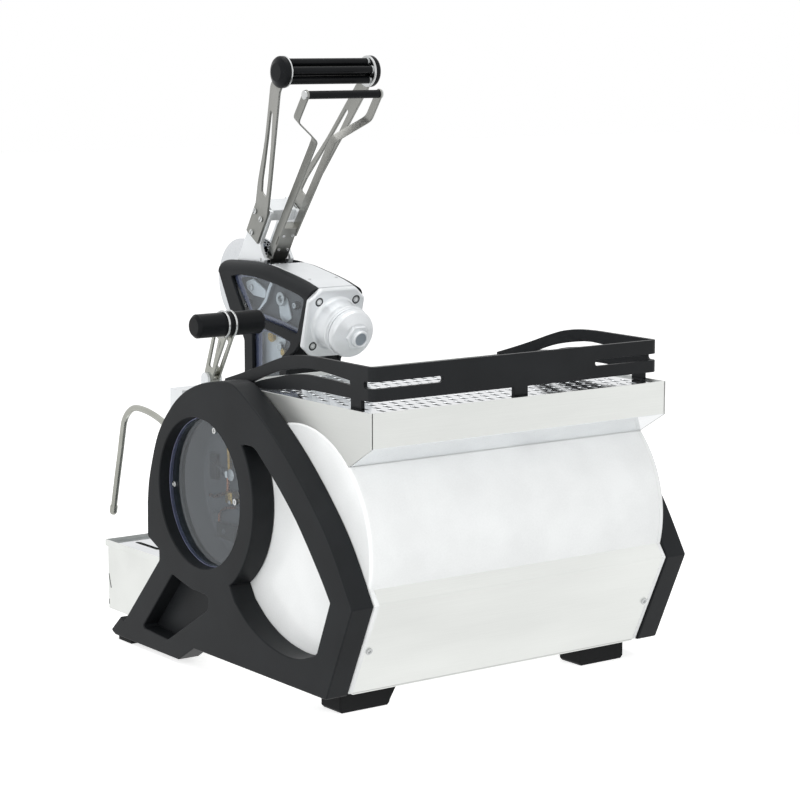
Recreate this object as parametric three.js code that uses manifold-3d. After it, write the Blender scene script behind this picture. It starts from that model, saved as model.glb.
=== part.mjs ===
// A one-group lever espresso machine for the counter, in millimetres.
// X runs across the machine, Y from the barista to the back, Z up from the counter.
// Pieces ending in _right lie on the +X side, which is the barista's right.
import * as THREE from 'three';
import { mergeVertices } from 'three/addons/utils/BufferGeometryUtils.js';
import Module from 'manifold-3d';

const wasm = await Module();
wasm.setup();

// Shared sizes
const machineWidth = 580;      // outside of one side frame to outside of the other
const seat = 0.3;              // gap between two pieces that touch
const overrun = 6;             // how far a cutter passes the surface that it cuts
const sheet = 2;               // body sheet metal
const veryFine = 72;           // sides of the largest round cut
const fine = 32;               // sides of a large round form
const coarse = 16;             // sides of a small round form

// Side frames
const frameThickness = 35;
const frameRear = 274;         // rear corner, behind the datum
const frameFront = 357;        // toe tip, in front of the datum
const frameHeight = 426;
const frameEdge = 3;           // softened edge of the casting
const pocketDepth = 25;
const frontY = -224;           // flat front of the body
const shoulderDrop = 58.6;
const shoulderZ = frameHeight - shoulderDrop;       // level top of the front casing
const windowY = -101;          // axis of the round side window
const windowRadiusShare = 0.87;        // of the distance from that axis to the front of the body
const windowRadius = (windowY - frontY) * windowRadiusShare;
const windowCrown = 1.38;      // window's highest point below the casing's level top
const windowZ = shoulderZ - windowCrown - windowRadius;
const ringWidth = 35;
const ringRadius = windowRadius + ringWidth;
const glassThickness = 5;
const glassSetback = 17;       // glass face behind the frame's outer face

// Body shell
const coverRoom = 9;           // room for the end cover beside each frame
const bodyHalf = machineWidth / 2 - frameThickness - coverRoom;
const coverLedge = 3;
const coverHole = windowRadius - coverLedge;
const cupDepth = 74;           // floor of the dark cup behind each window, from the frame's outer face
const cupFloorX = machineWidth / 2 - cupDepth;
const cupFlange = 3;
const floorZ = 31.5;
const floorRim = 16;
const barrelY = 105;           // axis of the curved back
const barrelRadius = 161;
const shoulderShare = 0.9031;  // casing's level top over the barrel's axis, as a share of its radius
const barrelZ = shoulderZ - barrelRadius * shoulderShare;
const barrelStep = 6;          // the end covers are this much smaller in radius
const foldReach = 7.5;         // fold line of the lower back panel, behind the barrel
const foldY = barrelY + barrelRadius + foldReach;
const foldDrop = 58;           // below the axis of the curved back
const foldZ = barrelZ - foldDrop;
const panelFootY = 212;        // lowest edge of the lower back panel
const frontBendDrop = 96;      // where the front starts to curve back, from the frame's top
const frontBendZ = frameHeight - frontBendDrop;
const frontCrownY = -172;      // where the curve has become level
const shelfReach = 10;         // how far the level top runs under the cup tray

// Feet
const rearFootInset = 40;      // from the outside of the side frame
const rearFootWidth = 82.5;
const rearFootOuter = machineWidth / 2 - rearFootInset;
const rearFootInner = rearFootOuter - rearFootWidth;
const rearFootFront = 143;
const rearFootRear = 188;
const footChamfer = 4;
const padFront = -340;
const padRear = -302;
const padHalf = 14;
const soleZ = 6.7;             // underside of the frame's front leg

// Cup tray, grate and rail
const traySidePlay = 1.2;
const trayHalf = machineWidth / 2 - frameThickness - traySidePlay;
const trayFront = -100;
const trayRear = 265.8;
const trayDrop = 11.2;         // rim of the tray below the top of the side frame
const trayTop = frameHeight - trayDrop;
const traySkirtZ = shoulderZ + seat;      // lower edge of the upright skirt
const trayTuckY = 216.5;       // lowest edge of the slanted rear skirt
const trayTuck = 29.1;
const trayTuckZ = traySkirtZ - trayTuck;
const trayDepth = 21.8;
const trayFloorZ = trayTop - trayDepth;
const trayWall = 1.8;
const grateThickness = 2;
const grateDrop = 3;           // grate top below the rim
const gratePlay = 0.4;
const grateSlotLength = 32;
const grateSlotWidth = 11;
const gratePitchX = 48;
const gratePitchY = 30;
const grateMargin = 14;
const railHalf = bodyHalf;
const railThickness = 6;
const railFront = -98;
const railRear = 257;
const railHeight = 58;
const railBlankHalf = 131;     // solid middle of the back rail
const railPostHalf = 12;
const railFootLength = 40;     // length of the foot under each front end of the rail

// Group
const groupY = -296.5;         // axis of the brewing piston
const cheekInner = 44;
const cheekThickness = 6;
const cheekFront = 428;        // foremost corner of the cheeks, in front of the datum
const cheekDepth = 250;        // from that corner to the flange
const cheekDrop = 32.4;
const cheekFootZ = shoulderZ - cheekDrop;        // lower edge of the cheeks
const cheekHeight = 220;       // from there up, as a scale for the shares below
const crestInner = 31;         // where the rounded shoulder of a cheek starts
const shoulderFall = 17;       // from the crest to the flat outer face
const shoulderWall = 6;
const shoulderLap = 2;         // how far the shoulder runs down over the flat plate
const shoulderSteps = 5;
const paneThickness = 2.3;
const wallThickness = 8;
const coverThickness = 3;      // arched cover between the cheeks
const coverProud = 1.2;        // its top above their crest

// Spring housing, on an axis that dips to the back
const springDip = 15;          // degrees
const flangeY = -183.5;        // centre of the flange's rear face
const flangeRise = 136.5;      // above the lower edge of the cheeks
const flangeZ = cheekFootZ + flangeRise;
const flangeHalfWidth = 50;
const flangeHalfHeight = 54;
const flangeThickness = 8.2;
const flangeCornerX = 31;
const flangeCornerZ = 37;
const plugDepth = 20;          // from the flange's rear face to the front of the plug
const plugHalfHeight = 50;
const plugCornerX = 22.5;
const plugCornerZ = 20;
const endWallRise = 37;        // top of the wall in front of the plug
const endWallDrop = 42;
const crestEndRise = 53.4;     // end of the cheeks' crest, across the spring's axis
const cheekEndDrop = 29;
const flangeFloor = 4;         // metal left in front of the spring
const flangeEdge = 1.5;
const boltX = 33;
const boltZ = 34.8;
const boltRadius = 4.6;
const boltHead = 2.2;
const barrelOuter = 38;
const springBore = 31;
const springBarrelLength = 38;
const capRadius = 35;
const capLength = 25;
const capChamfer = 4;
const capBore = 29;
const capHexRadius = 17;
const capHexLength = 5;
const capBossRadius = 12.5;
const capBossLength = 4;
const capEyeRadius = 8;
const springMeanRadius = 22;
const springWire = 2.6;
const springTurns = 9;
const coilTurnSteps = 10;
const coilSides = 5;
const plungerRodRadius = 6;
const plungerDiscRadius = 27;
const plungerDiscThickness = 6;
const plungerDiscAt = 50;      // from the flange's rear face
const plungerEyeAt = 118;      // forward of the flange's rear face
const plungerEyeRadius = 15;
const plungerEyeHole = 6;
const plungerEyeThickness = 7;

// Brewing chamber
const bellRadius = 46;
const bellHeight = 92;
const bellFootZ = cheekFootZ - bellHeight;
const bellNeckHalf = 38;
const bellSkirt = 19;          // depth of the wide bore under the chamber
const bellNeckFootZ = bellFootZ + bellSkirt;
const chamberRadius = 29;
const chamberFootZ = bellFootZ + bellSkirt;
const chamberRoof = 10;
const skirtRadius = 37;        // bore that takes the gasket and the portafilter
const gasketInner = 30;
const gasketHeight = 8;
const screenThickness = 2;
const screenLift = 3;
const pistonHeight = 15;
const pistonLift = 10;         // piston above the chamber's foot at rest
const pistonRodRadius = 5;
const pistonRodLength = 85;

// Portafilter
const filterBodyRadius = 34;
const filterRimHeight = 14;
const filterCupDrop = 27;
const filterBodyDrop = 21;
const filterCupFootZ = bellFootZ - filterCupDrop;
const filterBodyFootZ = bellFootZ - filterBodyDrop;
const filterConeRadius = 15;
const filterConeDrop = 39;
const filterConeFootZ = bellFootZ - filterConeDrop;
const filterBore = 29;
const filterNeckRadius = 7;
const filterNeckLength = 14;
const filterHandleDrop = 9;
const filterHandleZ = bellFootZ - filterHandleDrop;
const filterHandleEnd = -500;
const filterHandleRadius = 15;
const spoutHalf = 22;
const spoutRadius = 6;
const spoutHeight = 26;
const basketWall = 1;
const basketLipHeight = 1.2;
const basketLipRadius = 32;

// Lever, drawn upright from its pivot and then leant back
const pivotY = -406;
const pivotRise = 181;
const pivotZ = cheekFootZ + pivotRise;
const leverLean = 32.06;       // degrees
const leverReach = 383.5;      // pivot to the middle of the grip
const shaftRadius = 9;
const shaftSink = 4;           // how far the shaft enters each cheek
const forkInner = 21;
const forkOuter = 27;
const forkHalf = 20;
const forkWebFoot = 126;
const forkWebTop = 146;
const forkWebHalf = 15;
const wheelRadius = 67;
const wheelGroove = 59;
const wheelHub = 50;
const wheelInner = 4.5;
const wheelFin = 3;
const wheelDisc = 5;           // smooth outer disc
const camRadius = 27;
const camOffset = 11;
const camHalf = 3.4;
const armThickness = 4;
const armFoot = 86;
const armBend = 138;
const armHead = 27.5;          // straight end of the arm below the grip's middle
const armTopBend = leverReach - armHead;
const armTopX = 75.6;          // inner face of the arm beside the grip
const armHalfFoot = 18;
const armLugRadius = 13;
const gripDiscRadius = 23.3;
const gripDiscThickness = 3;
const gripRodRadius = 5.6;
const gripRodCircle = 14.2;
const gripRodCount = 5;
const gripCoreRadius = 9.5;
const rodTurnShare = 0.59;      // turn of the ring of rods, as a share of their spacing
const gripDomeLength = 12.5;
const gripDomeTop = 13;
const domeShoulderShare = 0.45;

// Trigger behind the lever
const triggerHubV = 34;        // behind the lever's centre line
const triggerHubU = 68;        // along the lever
const triggerHubRadius = 7.5;
const triggerPinRadius = 3;
const triggerLugRadius = 9;
const triggerBlockHalf = 14;
const triggerBlockFoot = 74;
const triggerBlockTop = 132;
const triggerBlockDepth = 17;
const strapThickness = 3;
const strapWidth = 15;
const strapFootX = 12.5;
const strapNeckX = 15;
const strapTopDrop = 4.5;      // bar below the middle of the grip
const strapTopU = leverReach - strapTopDrop;
const strapHead = 45;
const strapElbowU = strapTopU - strapHead;
const strapSpread = 37;
const strapNeckU = strapElbowU - strapSpread;
const strapTopX = 63.3;
const strapLean = 17;          // how far the straps drift back up to the bar
const triggerBarRadius = 6;
const triggerBossRadius = 6.6;
const triggerBossLength = 2.5;

// Steam valve, lever and wand
const valveInset = 6;
const valveWidth = 74;
const valveOuter = bodyHalf - valveInset;
const valveInner = valveOuter - valveWidth;
const valveFront = -258;
const valveDrop = 34;
const valveHeight = 90;
const valveFootZ = frontBendZ - valveDrop;
const valveTopZ = valveFootZ + valveHeight;
const steamY = -232;           // pin of the steam lever
const steamRise = 12;
const steamZ = valveTopZ + steamRise;
const steamPinRadius = 3;
const steamHubRadius = 10;
const steamEar = 4;
const steamPlateInsets = [61, 49];
const steamPlateX = steamPlateInsets.map((inset) => valveOuter - inset);
const steamPlateThickness = 3.2;
const steamGripY = -190;
const steamGripRise = 84;
const steamGripZ = steamZ + steamGripRise;
const steamGripRadius = 17.5;
const steamCollarRadius = 20.5;
const steamGripLength = 114;
const steamGripTo = valveOuter;
const steamGripFrom = steamGripTo - steamGripLength;
const steamGripChamfer = 5;
const steamLegFoot = 10;       // half widths of the slotted leg
const steamLegTop = 16;
const wandInset = 14;
const wandX = valveOuter - wandInset;
const wandY = -268;
const wandRiseFromFoot = 21;
const wandZ = valveFootZ + wandRiseFromFoot;
const wandSocketBack = 1;      // front of the socket behind the ball's centre
const wandBallRadius = 9.5;
const wandSocketRadius = 13.5;
const wandRadius = 4.8;
const wandTipRadius = 6;
const wandTipLength = 14;
const wandReach = 192;         // forward from the ball to the tip
const wandRise = 28;

// Front controls
const gaugeShare = -0.508;     // across the front, as a share of the body's half length
const gaugeX = bodyHalf * gaugeShare;
const gaugeDrop = 68;
const gaugeZ = frontBendZ - gaugeDrop;
const gaugeRadius = 30;
const gaugeDepth = 14;
const gaugeRecess = 2;
const gaugeBezel = 4;
const buttonShare = -0.797;
const buttonX = bodyHalf * buttonShare;
const buttonDrop = 34;
const buttonZ = frontBendZ - buttonDrop;
const buttonRadius = 9;
const buttonProud = 7;
const buttonDepth = 5;
const switchX = -gaugeX;
const switchRadius = 15;
const switchDepth = 16;
const switchGripHalf = 4;
const spigotX = buttonX;
const spigotZ = gaugeZ;
const spigotRadius = 7;
const spigotReach = 62;
const spigotDrop = 44;

// Inside the body
const boilerY = 42;
const boilerDrop = 14;
const boilerZ = barrelZ - boilerDrop;
const boilerRadius = 86;
const boilerEndRoom = 56;
const boilerHalf = bodyHalf - boilerEndRoom;
const boilerDish = 22;
const boilerEndShare = 0.72;
const boilerWall = 2.5;
const boilerPort = 26;         // hole for the heating element in the -X end
const boilerFitting = 12;
const saddleShare = 0.63;
const saddleX = boilerHalf * saddleShare;
const saddleHalf = 12;
const saddleDepthHalf = 52;
const pumpY = -130;
const pumpZ = 88;
const pumpRadius = 42;
const pumpEndRoom = 46;
const pumpLength = 140;
const pumpFrom = pumpEndRoom - bodyHalf;
const pumpTo = pumpFrom + pumpLength;
const pumpHeadLength = 34;
const pumpHeadRadius = 30;
const pumpFootHalf = 34;

// Drip tray
const dripSidePlay = 5;        // between the drip tray and each side frame
const dripHalf = machineWidth / 2 - frameThickness - dripSidePlay;
const dripFront = -443;
const dripRear = -232;
const dripFootZ = 23;
const dripTopShare = 0.30751;  // of the side frame's height
const dripTop = frameHeight * dripTopShare;
const dripWall = 2;
const dripLip = 3;
const dripGrateDrop = 8;       // grate's underside below the tray's top
const dripGrateZ = dripTop - dripGrateDrop;
const dripGrateThickness = 3;
const dripSlotLength = 70;
const dripSlotWidth = 9;
const dripSlotPitch = 30;
const dripSlotRowPitch = 84;
const dripSlotMargin = 20;
const switchShare = 0.2965;    // height of the main switch between the drip tray's top and the bend
const switchZ = dripTop + (frontBendZ - dripTop) * switchShare;
const runnerInset = 60;
const runnerX = dripHalf - runnerInset;
const runnerHalf = 10;
const runnerFront = -430;
const runnerDepth = 8;
const runnerOverlap = 22;      // how far the runners reach back under the floor

// Finishes from the photograph
const castBlack = { color: 0x35383a, roughness: 0.45, metalness: 0.2 };
const enamelWhite = { color: 0xf4f5f5, roughness: 0.3, metalness: 0.0 };
const brushedSteel = { color: 0xc9cac8, roughness: 0.35, metalness: 1.0 };
const polishedSteel = { color: 0xdddfe2, roughness: 0.15, metalness: 1.0 };
const castSilver = { color: 0xd3d7da, roughness: 0.4, metalness: 0.6 };
const darkPlate = { color: 0x55595c, roughness: 0.6, metalness: 0.2 };
const gripBlack = { color: 0x2a2d30, roughness: 0.4, metalness: 0.1 };
const rubberBlack = { color: 0x222324, roughness: 0.8, metalness: 0.0 };
const clearGlass = { color: 0xdfe6ea, roughness: 0.05, metalness: 0.0, transparent: true, opacity: 0.35 };
const copper = { color: 0xb87650, roughness: 0.35, metalness: 1.0 };
const dialWhite = { color: 0xf0f0ea, roughness: 0.5, metalness: 0.0 };

// Makes a geometry one closed surface with its faces pointing out.
function closed(geometry) {
  const plain = geometry.index ? geometry.toNonIndexed() : geometry.clone();
  plain.deleteAttribute('normal');
  plain.deleteAttribute('uv');
  const merged = mergeVertices(plain);
  const at = merged.attributes.position;
  const corners = [];
  let volume = 0;
  for (let i = 0; i < merged.index.count; i += 3) {
    const [a, b, c] = [0, 1, 2].map((k) => merged.index.getX(i + k));
    if (a === b || b === c || c === a) continue;
    const [p, q, r] = [a, b, c].map((n) => new THREE.Vector3().fromBufferAttribute(at, n));
    volume += p.dot(q.cross(r));
    corners.push(a, b, c);
  }
  if (volume < 0) corners.reverse();
  merged.setIndex(corners);
  return merged;
}

function solid(geometry) {
  const shell = closed(geometry);
  const vertProperties = new Float32Array(shell.attributes.position.array);
  const triVerts = new Uint32Array(shell.index.array);
  return new wasm.Manifold(new wasm.Mesh({ numProp: 3, vertProperties, triVerts }));
}

function surface(body) {
  const mesh = body.getMesh();
  const geometry = new THREE.BufferGeometry();
  geometry.setAttribute('position', new THREE.Float32BufferAttribute(mesh.vertProperties, 3));
  geometry.setIndex(Array.from(mesh.triVerts));
  return geometry;
}

function join(first, ...others) {
  return surface(others.reduce((sum, other) => sum.add(solid(other)), solid(first)));
}

function cut(first, ...tools) {
  return surface(tools.reduce((left, tool) => left.subtract(solid(tool)), solid(first)));
}

function common(first, second) {
  return surface(solid(first).intersect(solid(second)));
}

function mirrored(geometry) {
  return closed(geometry.clone().scale(-1, 1, 1));
}

function bothSides(geometry) {
  return join(geometry, mirrored(geometry));
}

// A block between two opposite corners.
function block(from, to) {
  const size = to.map((value, i) => value - from[i]);
  const middle = to.map((value, i) => (value + from[i]) / 2);
  return new THREE.BoxGeometry(...size).translate(...middle);
}

// Turns a form drawn along Y so that it runs along another axis.
function along(axis, geometry) {
  if (axis === 'x') geometry.rotateZ(-Math.PI / 2);
  if (axis === 'z') geometry.rotateX(Math.PI / 2);
  return geometry;
}

// A round bar along an axis, from one value to another, at a place across that axis.
function bar(axis, radius, from, to, across, sides = coarse) {
  const length = to - from;
  const middle = (from + to) / 2;
  const form = along(axis, new THREE.CylinderGeometry(radius, radius, length, sides));
  if (axis === 'x') return form.translate(middle, across[0], across[1]);
  if (axis === 'y') return form.translate(across[0], middle, across[1]);
  return form.translate(across[0], across[1], middle);
}

// A turned form: pairs of radius and distance along the axis, closed on itself or on the axis.
function turned(axis, profile, across, sides = coarse) {
  const points = profile.map(([radius, distance]) => new THREE.Vector2(radius, distance));
  if (profile[0][0] > 0) points.push(points[0].clone());
  const form = new THREE.LatheGeometry(points, sides);
  if (axis === 'x') return form.rotateZ(-Math.PI / 2).translate(0, across[0], across[1]);
  if (axis === 'y') return form.translate(across[0], 0, across[1]);
  return form.rotateX(Math.PI / 2).translate(across[0], across[1], 0);
}

function shapeOf(points, holes = []) {
  const outline = points.map(([a, b]) => new THREE.Vector2(a, b));
  if (THREE.ShapeUtils.isClockWise(outline)) outline.reverse();
  const shape = new THREE.Shape(outline);
  for (const hole of holes) shape.holes.push(new THREE.Path(hole.map(([a, b]) => new THREE.Vector2(a, b))));
  return shape;
}

// A plate cut from an outline, thick along one axis. An x plate is drawn in (Y, Z), a y plate in
// (X, Z) and a z plate in (X, Y).
function plate(axis, shape, from, to, edge = 0) {
  const form = new THREE.ExtrudeGeometry(shape, {
    depth: to - from - 2 * edge,
    bevelEnabled: edge > 0,
    bevelThickness: edge,
    bevelSize: edge,
    bevelOffset: -edge,
    bevelSegments: 1,
  });
  form.translate(0, 0, from + edge);
  const [x, y, z] = [new THREE.Vector3(1, 0, 0), new THREE.Vector3(0, 1, 0), new THREE.Vector3(0, 0, 1)];
  if (axis === 'x') form.applyMatrix4(new THREE.Matrix4().makeBasis(y, z, x));
  if (axis === 'y') form.applyMatrix4(new THREE.Matrix4().makeBasis(x, z, y));
  return closed(form);
}

function arc(centre, radius, fromDegrees, toDegrees, steps) {
  const points = [];
  for (let i = 0; i <= steps; i += 1) {
    const angle = THREE.MathUtils.degToRad(fromDegrees + ((toDegrees - fromDegrees) * i) / steps);
    points.push([centre[0] + radius * Math.cos(angle), centre[1] + radius * Math.sin(angle)]);
  }
  return points;
}

function circle(centre, radius, sides = fine) {
  return arc(centre, radius, 0, 360, sides).slice(1);
}

function smooth(points, steps) {
  const curve = new THREE.SplineCurve(points.map(([a, b]) => new THREE.Vector2(a, b)));
  return curve.getPoints(steps).map((point) => [point.x, point.y]);
}

// The outline of a bent sheet: a path and the same path moved sideways by the thickness.
function bentSheet(path, thickness) {
  const inner = path.map((point, i) => {
    const before = path[Math.max(i - 1, 0)];
    const after = path[Math.min(i + 1, path.length - 1)];
    const sides = [[before, point], [point, after]].filter(([a, b]) => a !== b);
    const normals = sides.map(([a, b]) => new THREE.Vector2(a[1] - b[1], b[0] - a[0]).normalize());
    const sum = normals.reduce((total, normal) => total.clone().add(normal));
    const reach = (thickness * normals.length) / sum.lengthSq();
    return [point[0] + sum.x * reach, point[1] + sum.y * reach];
  });
  return shapeOf([...path, ...inner.reverse()]);
}

// A tube along a curve, capped at both ends.
function tube(points, radius, steps, sides) {
  const path = new THREE.CatmullRomCurve3(points.map((point) => new THREE.Vector3(...point)));
  const section = shapeOf(circle([0, 0], radius, sides));
  return new THREE.ExtrudeGeometry(section, { steps, bevelEnabled: false, extrudePath: path });
}

// A solid that carries a section in (X, height) along a path in (Y, Z). Its last section leans back by
// the given share of its height.
function carried(section, path, lean) {
  const rows = path.map(([y, z], i) => section.map(([x, rise]) => [
    x,
    y + (i === path.length - 1 ? lean * rise : 0),
    z + rise,
  ]));
  const corners = [];
  rows.slice(1).forEach((row, i) => row.forEach((point, k) => {
    const next = (k + 1) % row.length;
    corners.push(rows[i][k], point, row[next], rows[i][k], row[next], rows[i][next]);
  }));
  const outline = section.map(([x, rise]) => new THREE.Vector2(x, rise));
  for (const [a, b, c] of THREE.ShapeUtils.triangulateShape(outline, [])) {
    corners.push(rows[0][a], rows[0][b], rows[0][c]);
    corners.push(...[c, b, a].map((n) => rows[rows.length - 1][n]));
  }
  const geometry = new THREE.BufferGeometry();
  geometry.setAttribute('position', new THREE.Float32BufferAttribute(corners.flat(), 3));
  return closed(geometry);
}

const machine = new THREE.Group();

function piece(name, geometry, finish, parent = machine) {
  const mesh = new THREE.Mesh(closed(geometry), new THREE.MeshStandardMaterial(finish));
  mesh.name = name;
  parent.add(mesh);
}

function pair(name, geometry, finish, parent = machine) {
  piece(`${name}_right`, geometry, finish, parent);
  piece(`${name}_left`, mirrored(geometry), finish, parent);
}

// Side frames: a ring round the window, a leg forward and a sloping back with a large opening.
const frameInner = machineWidth / 2 - frameThickness;
const frameOuter = machineWidth / 2;
const frameDepth = frameFront + frameRear;
const frameSpot = ([depthShare, heightShare]) => [
  depthShare * frameDepth - frameFront,
  heightShare * frameHeight,
];
const frontCurveShares = [
  [0.1807, 0.5282], [0.1886, 0.6056], [0.2076, 0.6925], [0.2536, 0.8169], [0.3201, 0.9085],
  [0.412, 0.9718], [0.5277, 1.0],
];
const crownShares = [[0.5277, 1.0], [0.5563, 0.9941], [0.5832, 0.9765]];
const backCurveShares = [
  [0.5832, 0.9765], [0.6624, 0.9085], [0.7528, 0.8122], [0.8415, 0.6948], [0.9223, 0.5634], [1.0, 0.385],
];
const footShares = [[0.9041, 0.0742], [0.3756, 0.0742]];
const toeShares = [[0.0, 0.033], [0.0475, 0.0892], [0.0634, 0.0775]];
const legShares = [[0.2298, 0.338], [0.2298, 0.3756], [0.1791, 0.4085]];
const soleShares = [0.309, 0.019];
const slopeShares = [
  [0.5983, 0.8089], [0.6284, 0.808], [0.645, 0.7981], [0.7116, 0.7207], [0.794, 0.6103],
  [0.8732, 0.4742], [0.9187, 0.3847],
];
const bowlShares = [
  [0.87, 0.2131], [0.8067, 0.1746], [0.748, 0.1683], [0.6729, 0.1871], [0.6038, 0.23],
  [0.5523, 0.2864],
];
const pocketShares = [
  [0.2876, 0.304], [0.3225, 0.289], [0.3661, 0.275], [0.4255, 0.2739], [0.4422, 0.2664],
  [0.439, 0.2254], [0.2631, 0.0718], [0.1585, 0.0805], [0.1537, 0.0892],
];
const window = [windowY, windowZ];
const ringFromDegrees = -55;
const ringToDegrees = 36;
const frameOutline = [
  ...smooth(frontCurveShares.map(frameSpot), 18),
  ...smooth(crownShares.map(frameSpot), 4).slice(1),
  ...smooth(backCurveShares.map(frameSpot), 12).slice(1),
  ...footShares.map(frameSpot),
  ...soleShares.map((depthShare) => [frameSpot([depthShare, 0])[0], soleZ]),
  ...toeShares.map(frameSpot),
  ...legShares.map(frameSpot),
];
const frameOpening = [
  ...arc(window, ringRadius, ringFromDegrees, ringToDegrees, 14),
  ...slopeShares.map(frameSpot),
  ...smooth(bowlShares.map(frameSpot), 12),
];
const frameShape = shapeOf(frameOutline, [circle(window, windowRadius), frameOpening]);
const pocketShape = shapeOf(pocketShares.map(frameSpot));
const frameBody = cut(
  plate('x', frameShape, frameInner, frameOuter, frameEdge),
  plate('x', pocketShape, frameOuter - pocketDepth, frameOuter + overrun),
);
pair('side_frame', frameBody, castBlack);

// Round side windows: a clear disc inside each ring.
const glassFace = frameOuter - glassSetback;
pair(
  'ring_window',
  bar('x', windowRadius - seat, glassFace - glassThickness, glassFace, window, fine),
  clearGlass,
);

// End covers: the white sides of the body, with the body's own profile and a round hole.
const coverOuter = frameInner - seat;
const coverInner = bodyHalf + seat;
const barrelAxis = [barrelY, barrelZ];
const coverRadius = barrelRadius - barrelStep;
const shoulderRise = shoulderZ - barrelZ;
const coverFromDegrees = -14.5;
const coverToDegrees = 180 - THREE.MathUtils.radToDeg(Math.asin(shoulderRise / coverRadius));
const bendShares = [[0, 0], [0.25, 0.66], [1, 1]];
const frontBend = smooth(bendShares.map(([back, up]) => [
  frontY + (frontCrownY - frontY) * back,
  frontBendZ + (shoulderZ - frontBendZ) * up,
]), 6);
const coverOutline = [
  [frontY, floorZ],
  [panelFootY, floorZ],
  [foldY - barrelStep, foldZ],
  ...arc(barrelAxis, coverRadius, coverFromDegrees, coverToDegrees, 30),
  ...frontBend.toReversed(),
];
const coverShape = shapeOf(coverOutline, [circle(window, coverHole)]);
pair('end_cover', plate('x', coverShape, coverInner, coverOuter), enamelWhite);

// End plates: dark cups that close the body behind the windows.
const cupRadius = coverHole - seat;
const cupFlangeFoot = coverOuter + seat;
const cupProfile = [
  [0, cupFloorX - sheet],
  [cupRadius, cupFloorX - sheet],
  [cupRadius, cupFlangeFoot],
  [windowRadius - seat, cupFlangeFoot],
  [windowRadius - seat, cupFlangeFoot + cupFlange],
  [cupRadius - sheet, cupFlangeFoot + cupFlange],
  [cupRadius - sheet, cupFloorX],
  [0, cupFloorX],
];
pair('end_plate', turned('x', cupProfile, window, fine), darkPlate);

// Body shell: curved back, folded lower back, curved front and floor.
const barrelFromDegrees = -14.5;
const barrelToDegrees = 58;
const barrelShape = shapeOf([
  ...arc(barrelAxis, barrelRadius, barrelFromDegrees, barrelToDegrees, 28),
  ...arc(barrelAxis, barrelRadius - sheet, barrelToDegrees, barrelFromDegrees, 28),
]);
piece('rear_barrel', plate('x', barrelShape, -bodyHalf, bodyHalf), enamelWhite);

const lipShare = 0.25;          // where the panel's upper edge lies between barrel and fold
const barrelEdge = arc(barrelAxis, barrelRadius, barrelFromDegrees, barrelFromDegrees, 1)[0];
const lowerPanelPath = [
  [panelFootY, floorZ + sheet + seat],
  [foldY, foldZ],
  [barrelEdge[0] + (foldY - barrelEdge[0]) * lipShare, barrelEdge[1] - seat - sheet],
];
const lowerPanelShape = bentSheet(lowerPanelPath, sheet);
piece('rear_lower_panel', plate('x', lowerPanelShape, -bodyHalf, bodyHalf), brushedSteel);

const frontPanelPath = [
  [frontY, floorZ + sheet + seat],
  ...frontBend,
  [trayFront + shelfReach, shoulderZ],
];
const frontPanelShape = bentSheet(frontPanelPath.toReversed(), sheet);
piece(
  'front_panel',
  cut(
    plate('x', frontPanelShape, -bodyHalf, bodyHalf),
    bar('y', buttonRadius + seat, frontY - overrun, frontY + overrun, [buttonX, buttonZ]),
  ),
  enamelWhite,
);

const floorPan = block([-bodyHalf, frontY, floorZ], [bodyHalf, panelFootY, floorZ + sheet]);
const rimFront = frontY + sheet + seat;
const floorFrontRim = block([-bodyHalf, rimFront, floorZ], [bodyHalf, rimFront + sheet, floorZ + floorRim]);
const runner = join(
  block(
    [runnerX - runnerHalf, runnerFront, dripFootZ - seat - runnerDepth],
    [runnerX + runnerHalf, frontY + runnerOverlap, dripFootZ - seat],
  ),
  block(
    [runnerX - runnerHalf, dripRear + runnerDepth, dripFootZ - seat - runnerDepth],
    [runnerX + runnerHalf, frontY + runnerOverlap, floorZ + sheet / 2],
  ),
);
piece('base_pan', join(floorPan, floorFrontRim, runner, mirrored(runner)), brushedSteel);

// Feet: blocks under the back and pads under the front legs of the frames.
const rearFootTop = floorZ - seat;
const rearFootShape = shapeOf([
  [rearFootInner + footChamfer, 0],
  [rearFootOuter - footChamfer, 0],
  [rearFootOuter, footChamfer],
  [rearFootOuter, rearFootTop],
  [rearFootInner, rearFootTop],
  [rearFootInner, footChamfer],
]);
pair('rear_foot', plate('y', rearFootShape, rearFootFront, rearFootRear), rubberBlack);
const padMiddle = (frameInner + frameOuter) / 2;
pair(
  'front_pad',
  block([padMiddle - padHalf, padFront, 0], [padMiddle + padHalf, padRear, soleZ - seat]),
  rubberBlack,
);

// Cup tray: a deep steel tray whose ends follow the curved back, with a slanted rear skirt.
const trayProfile = [
  [trayFront, traySkirtZ],
  [trayTuckY - (traySkirtZ - trayTuckZ), traySkirtZ],
  [trayTuckY - (traySkirtZ - trayTuckZ), trayTuckZ],
  [trayTuckY, trayTuckZ],
  [trayRear, traySkirtZ],
  [trayRear, trayTop],
  [trayFront, trayTop],
];
const trayHollow = [
  [trayFront + trayWall, trayTuckZ - overrun],
  [trayTuckY - trayWall, trayTuckZ - overrun],
  [trayTuckY - trayWall, trayTuckZ + trayWall],
  [trayRear - trayWall, traySkirtZ + trayWall],
  [trayRear - trayWall, trayFloorZ],
  [trayFront + trayWall, trayFloorZ],
];
const trayTopInside = block(
  [trayWall - trayHalf, trayFront + trayWall, trayFloorZ + trayWall],
  [trayHalf - trayWall, trayRear - trayWall, trayTop + overrun],
);
const trayBody = cut(
  plate('x', shapeOf(trayProfile), -trayHalf, trayHalf),
  plate('x', shapeOf(trayHollow), trayWall - trayHalf, trayHalf - trayWall),
  trayTopInside,
  bar('x', barrelRadius + seat, -coverInner, coverInner, barrelAxis, veryFine),
  bar('x', coverRadius + seat, -trayHalf - overrun, trayHalf + overrun, barrelAxis, veryFine),
);
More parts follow.
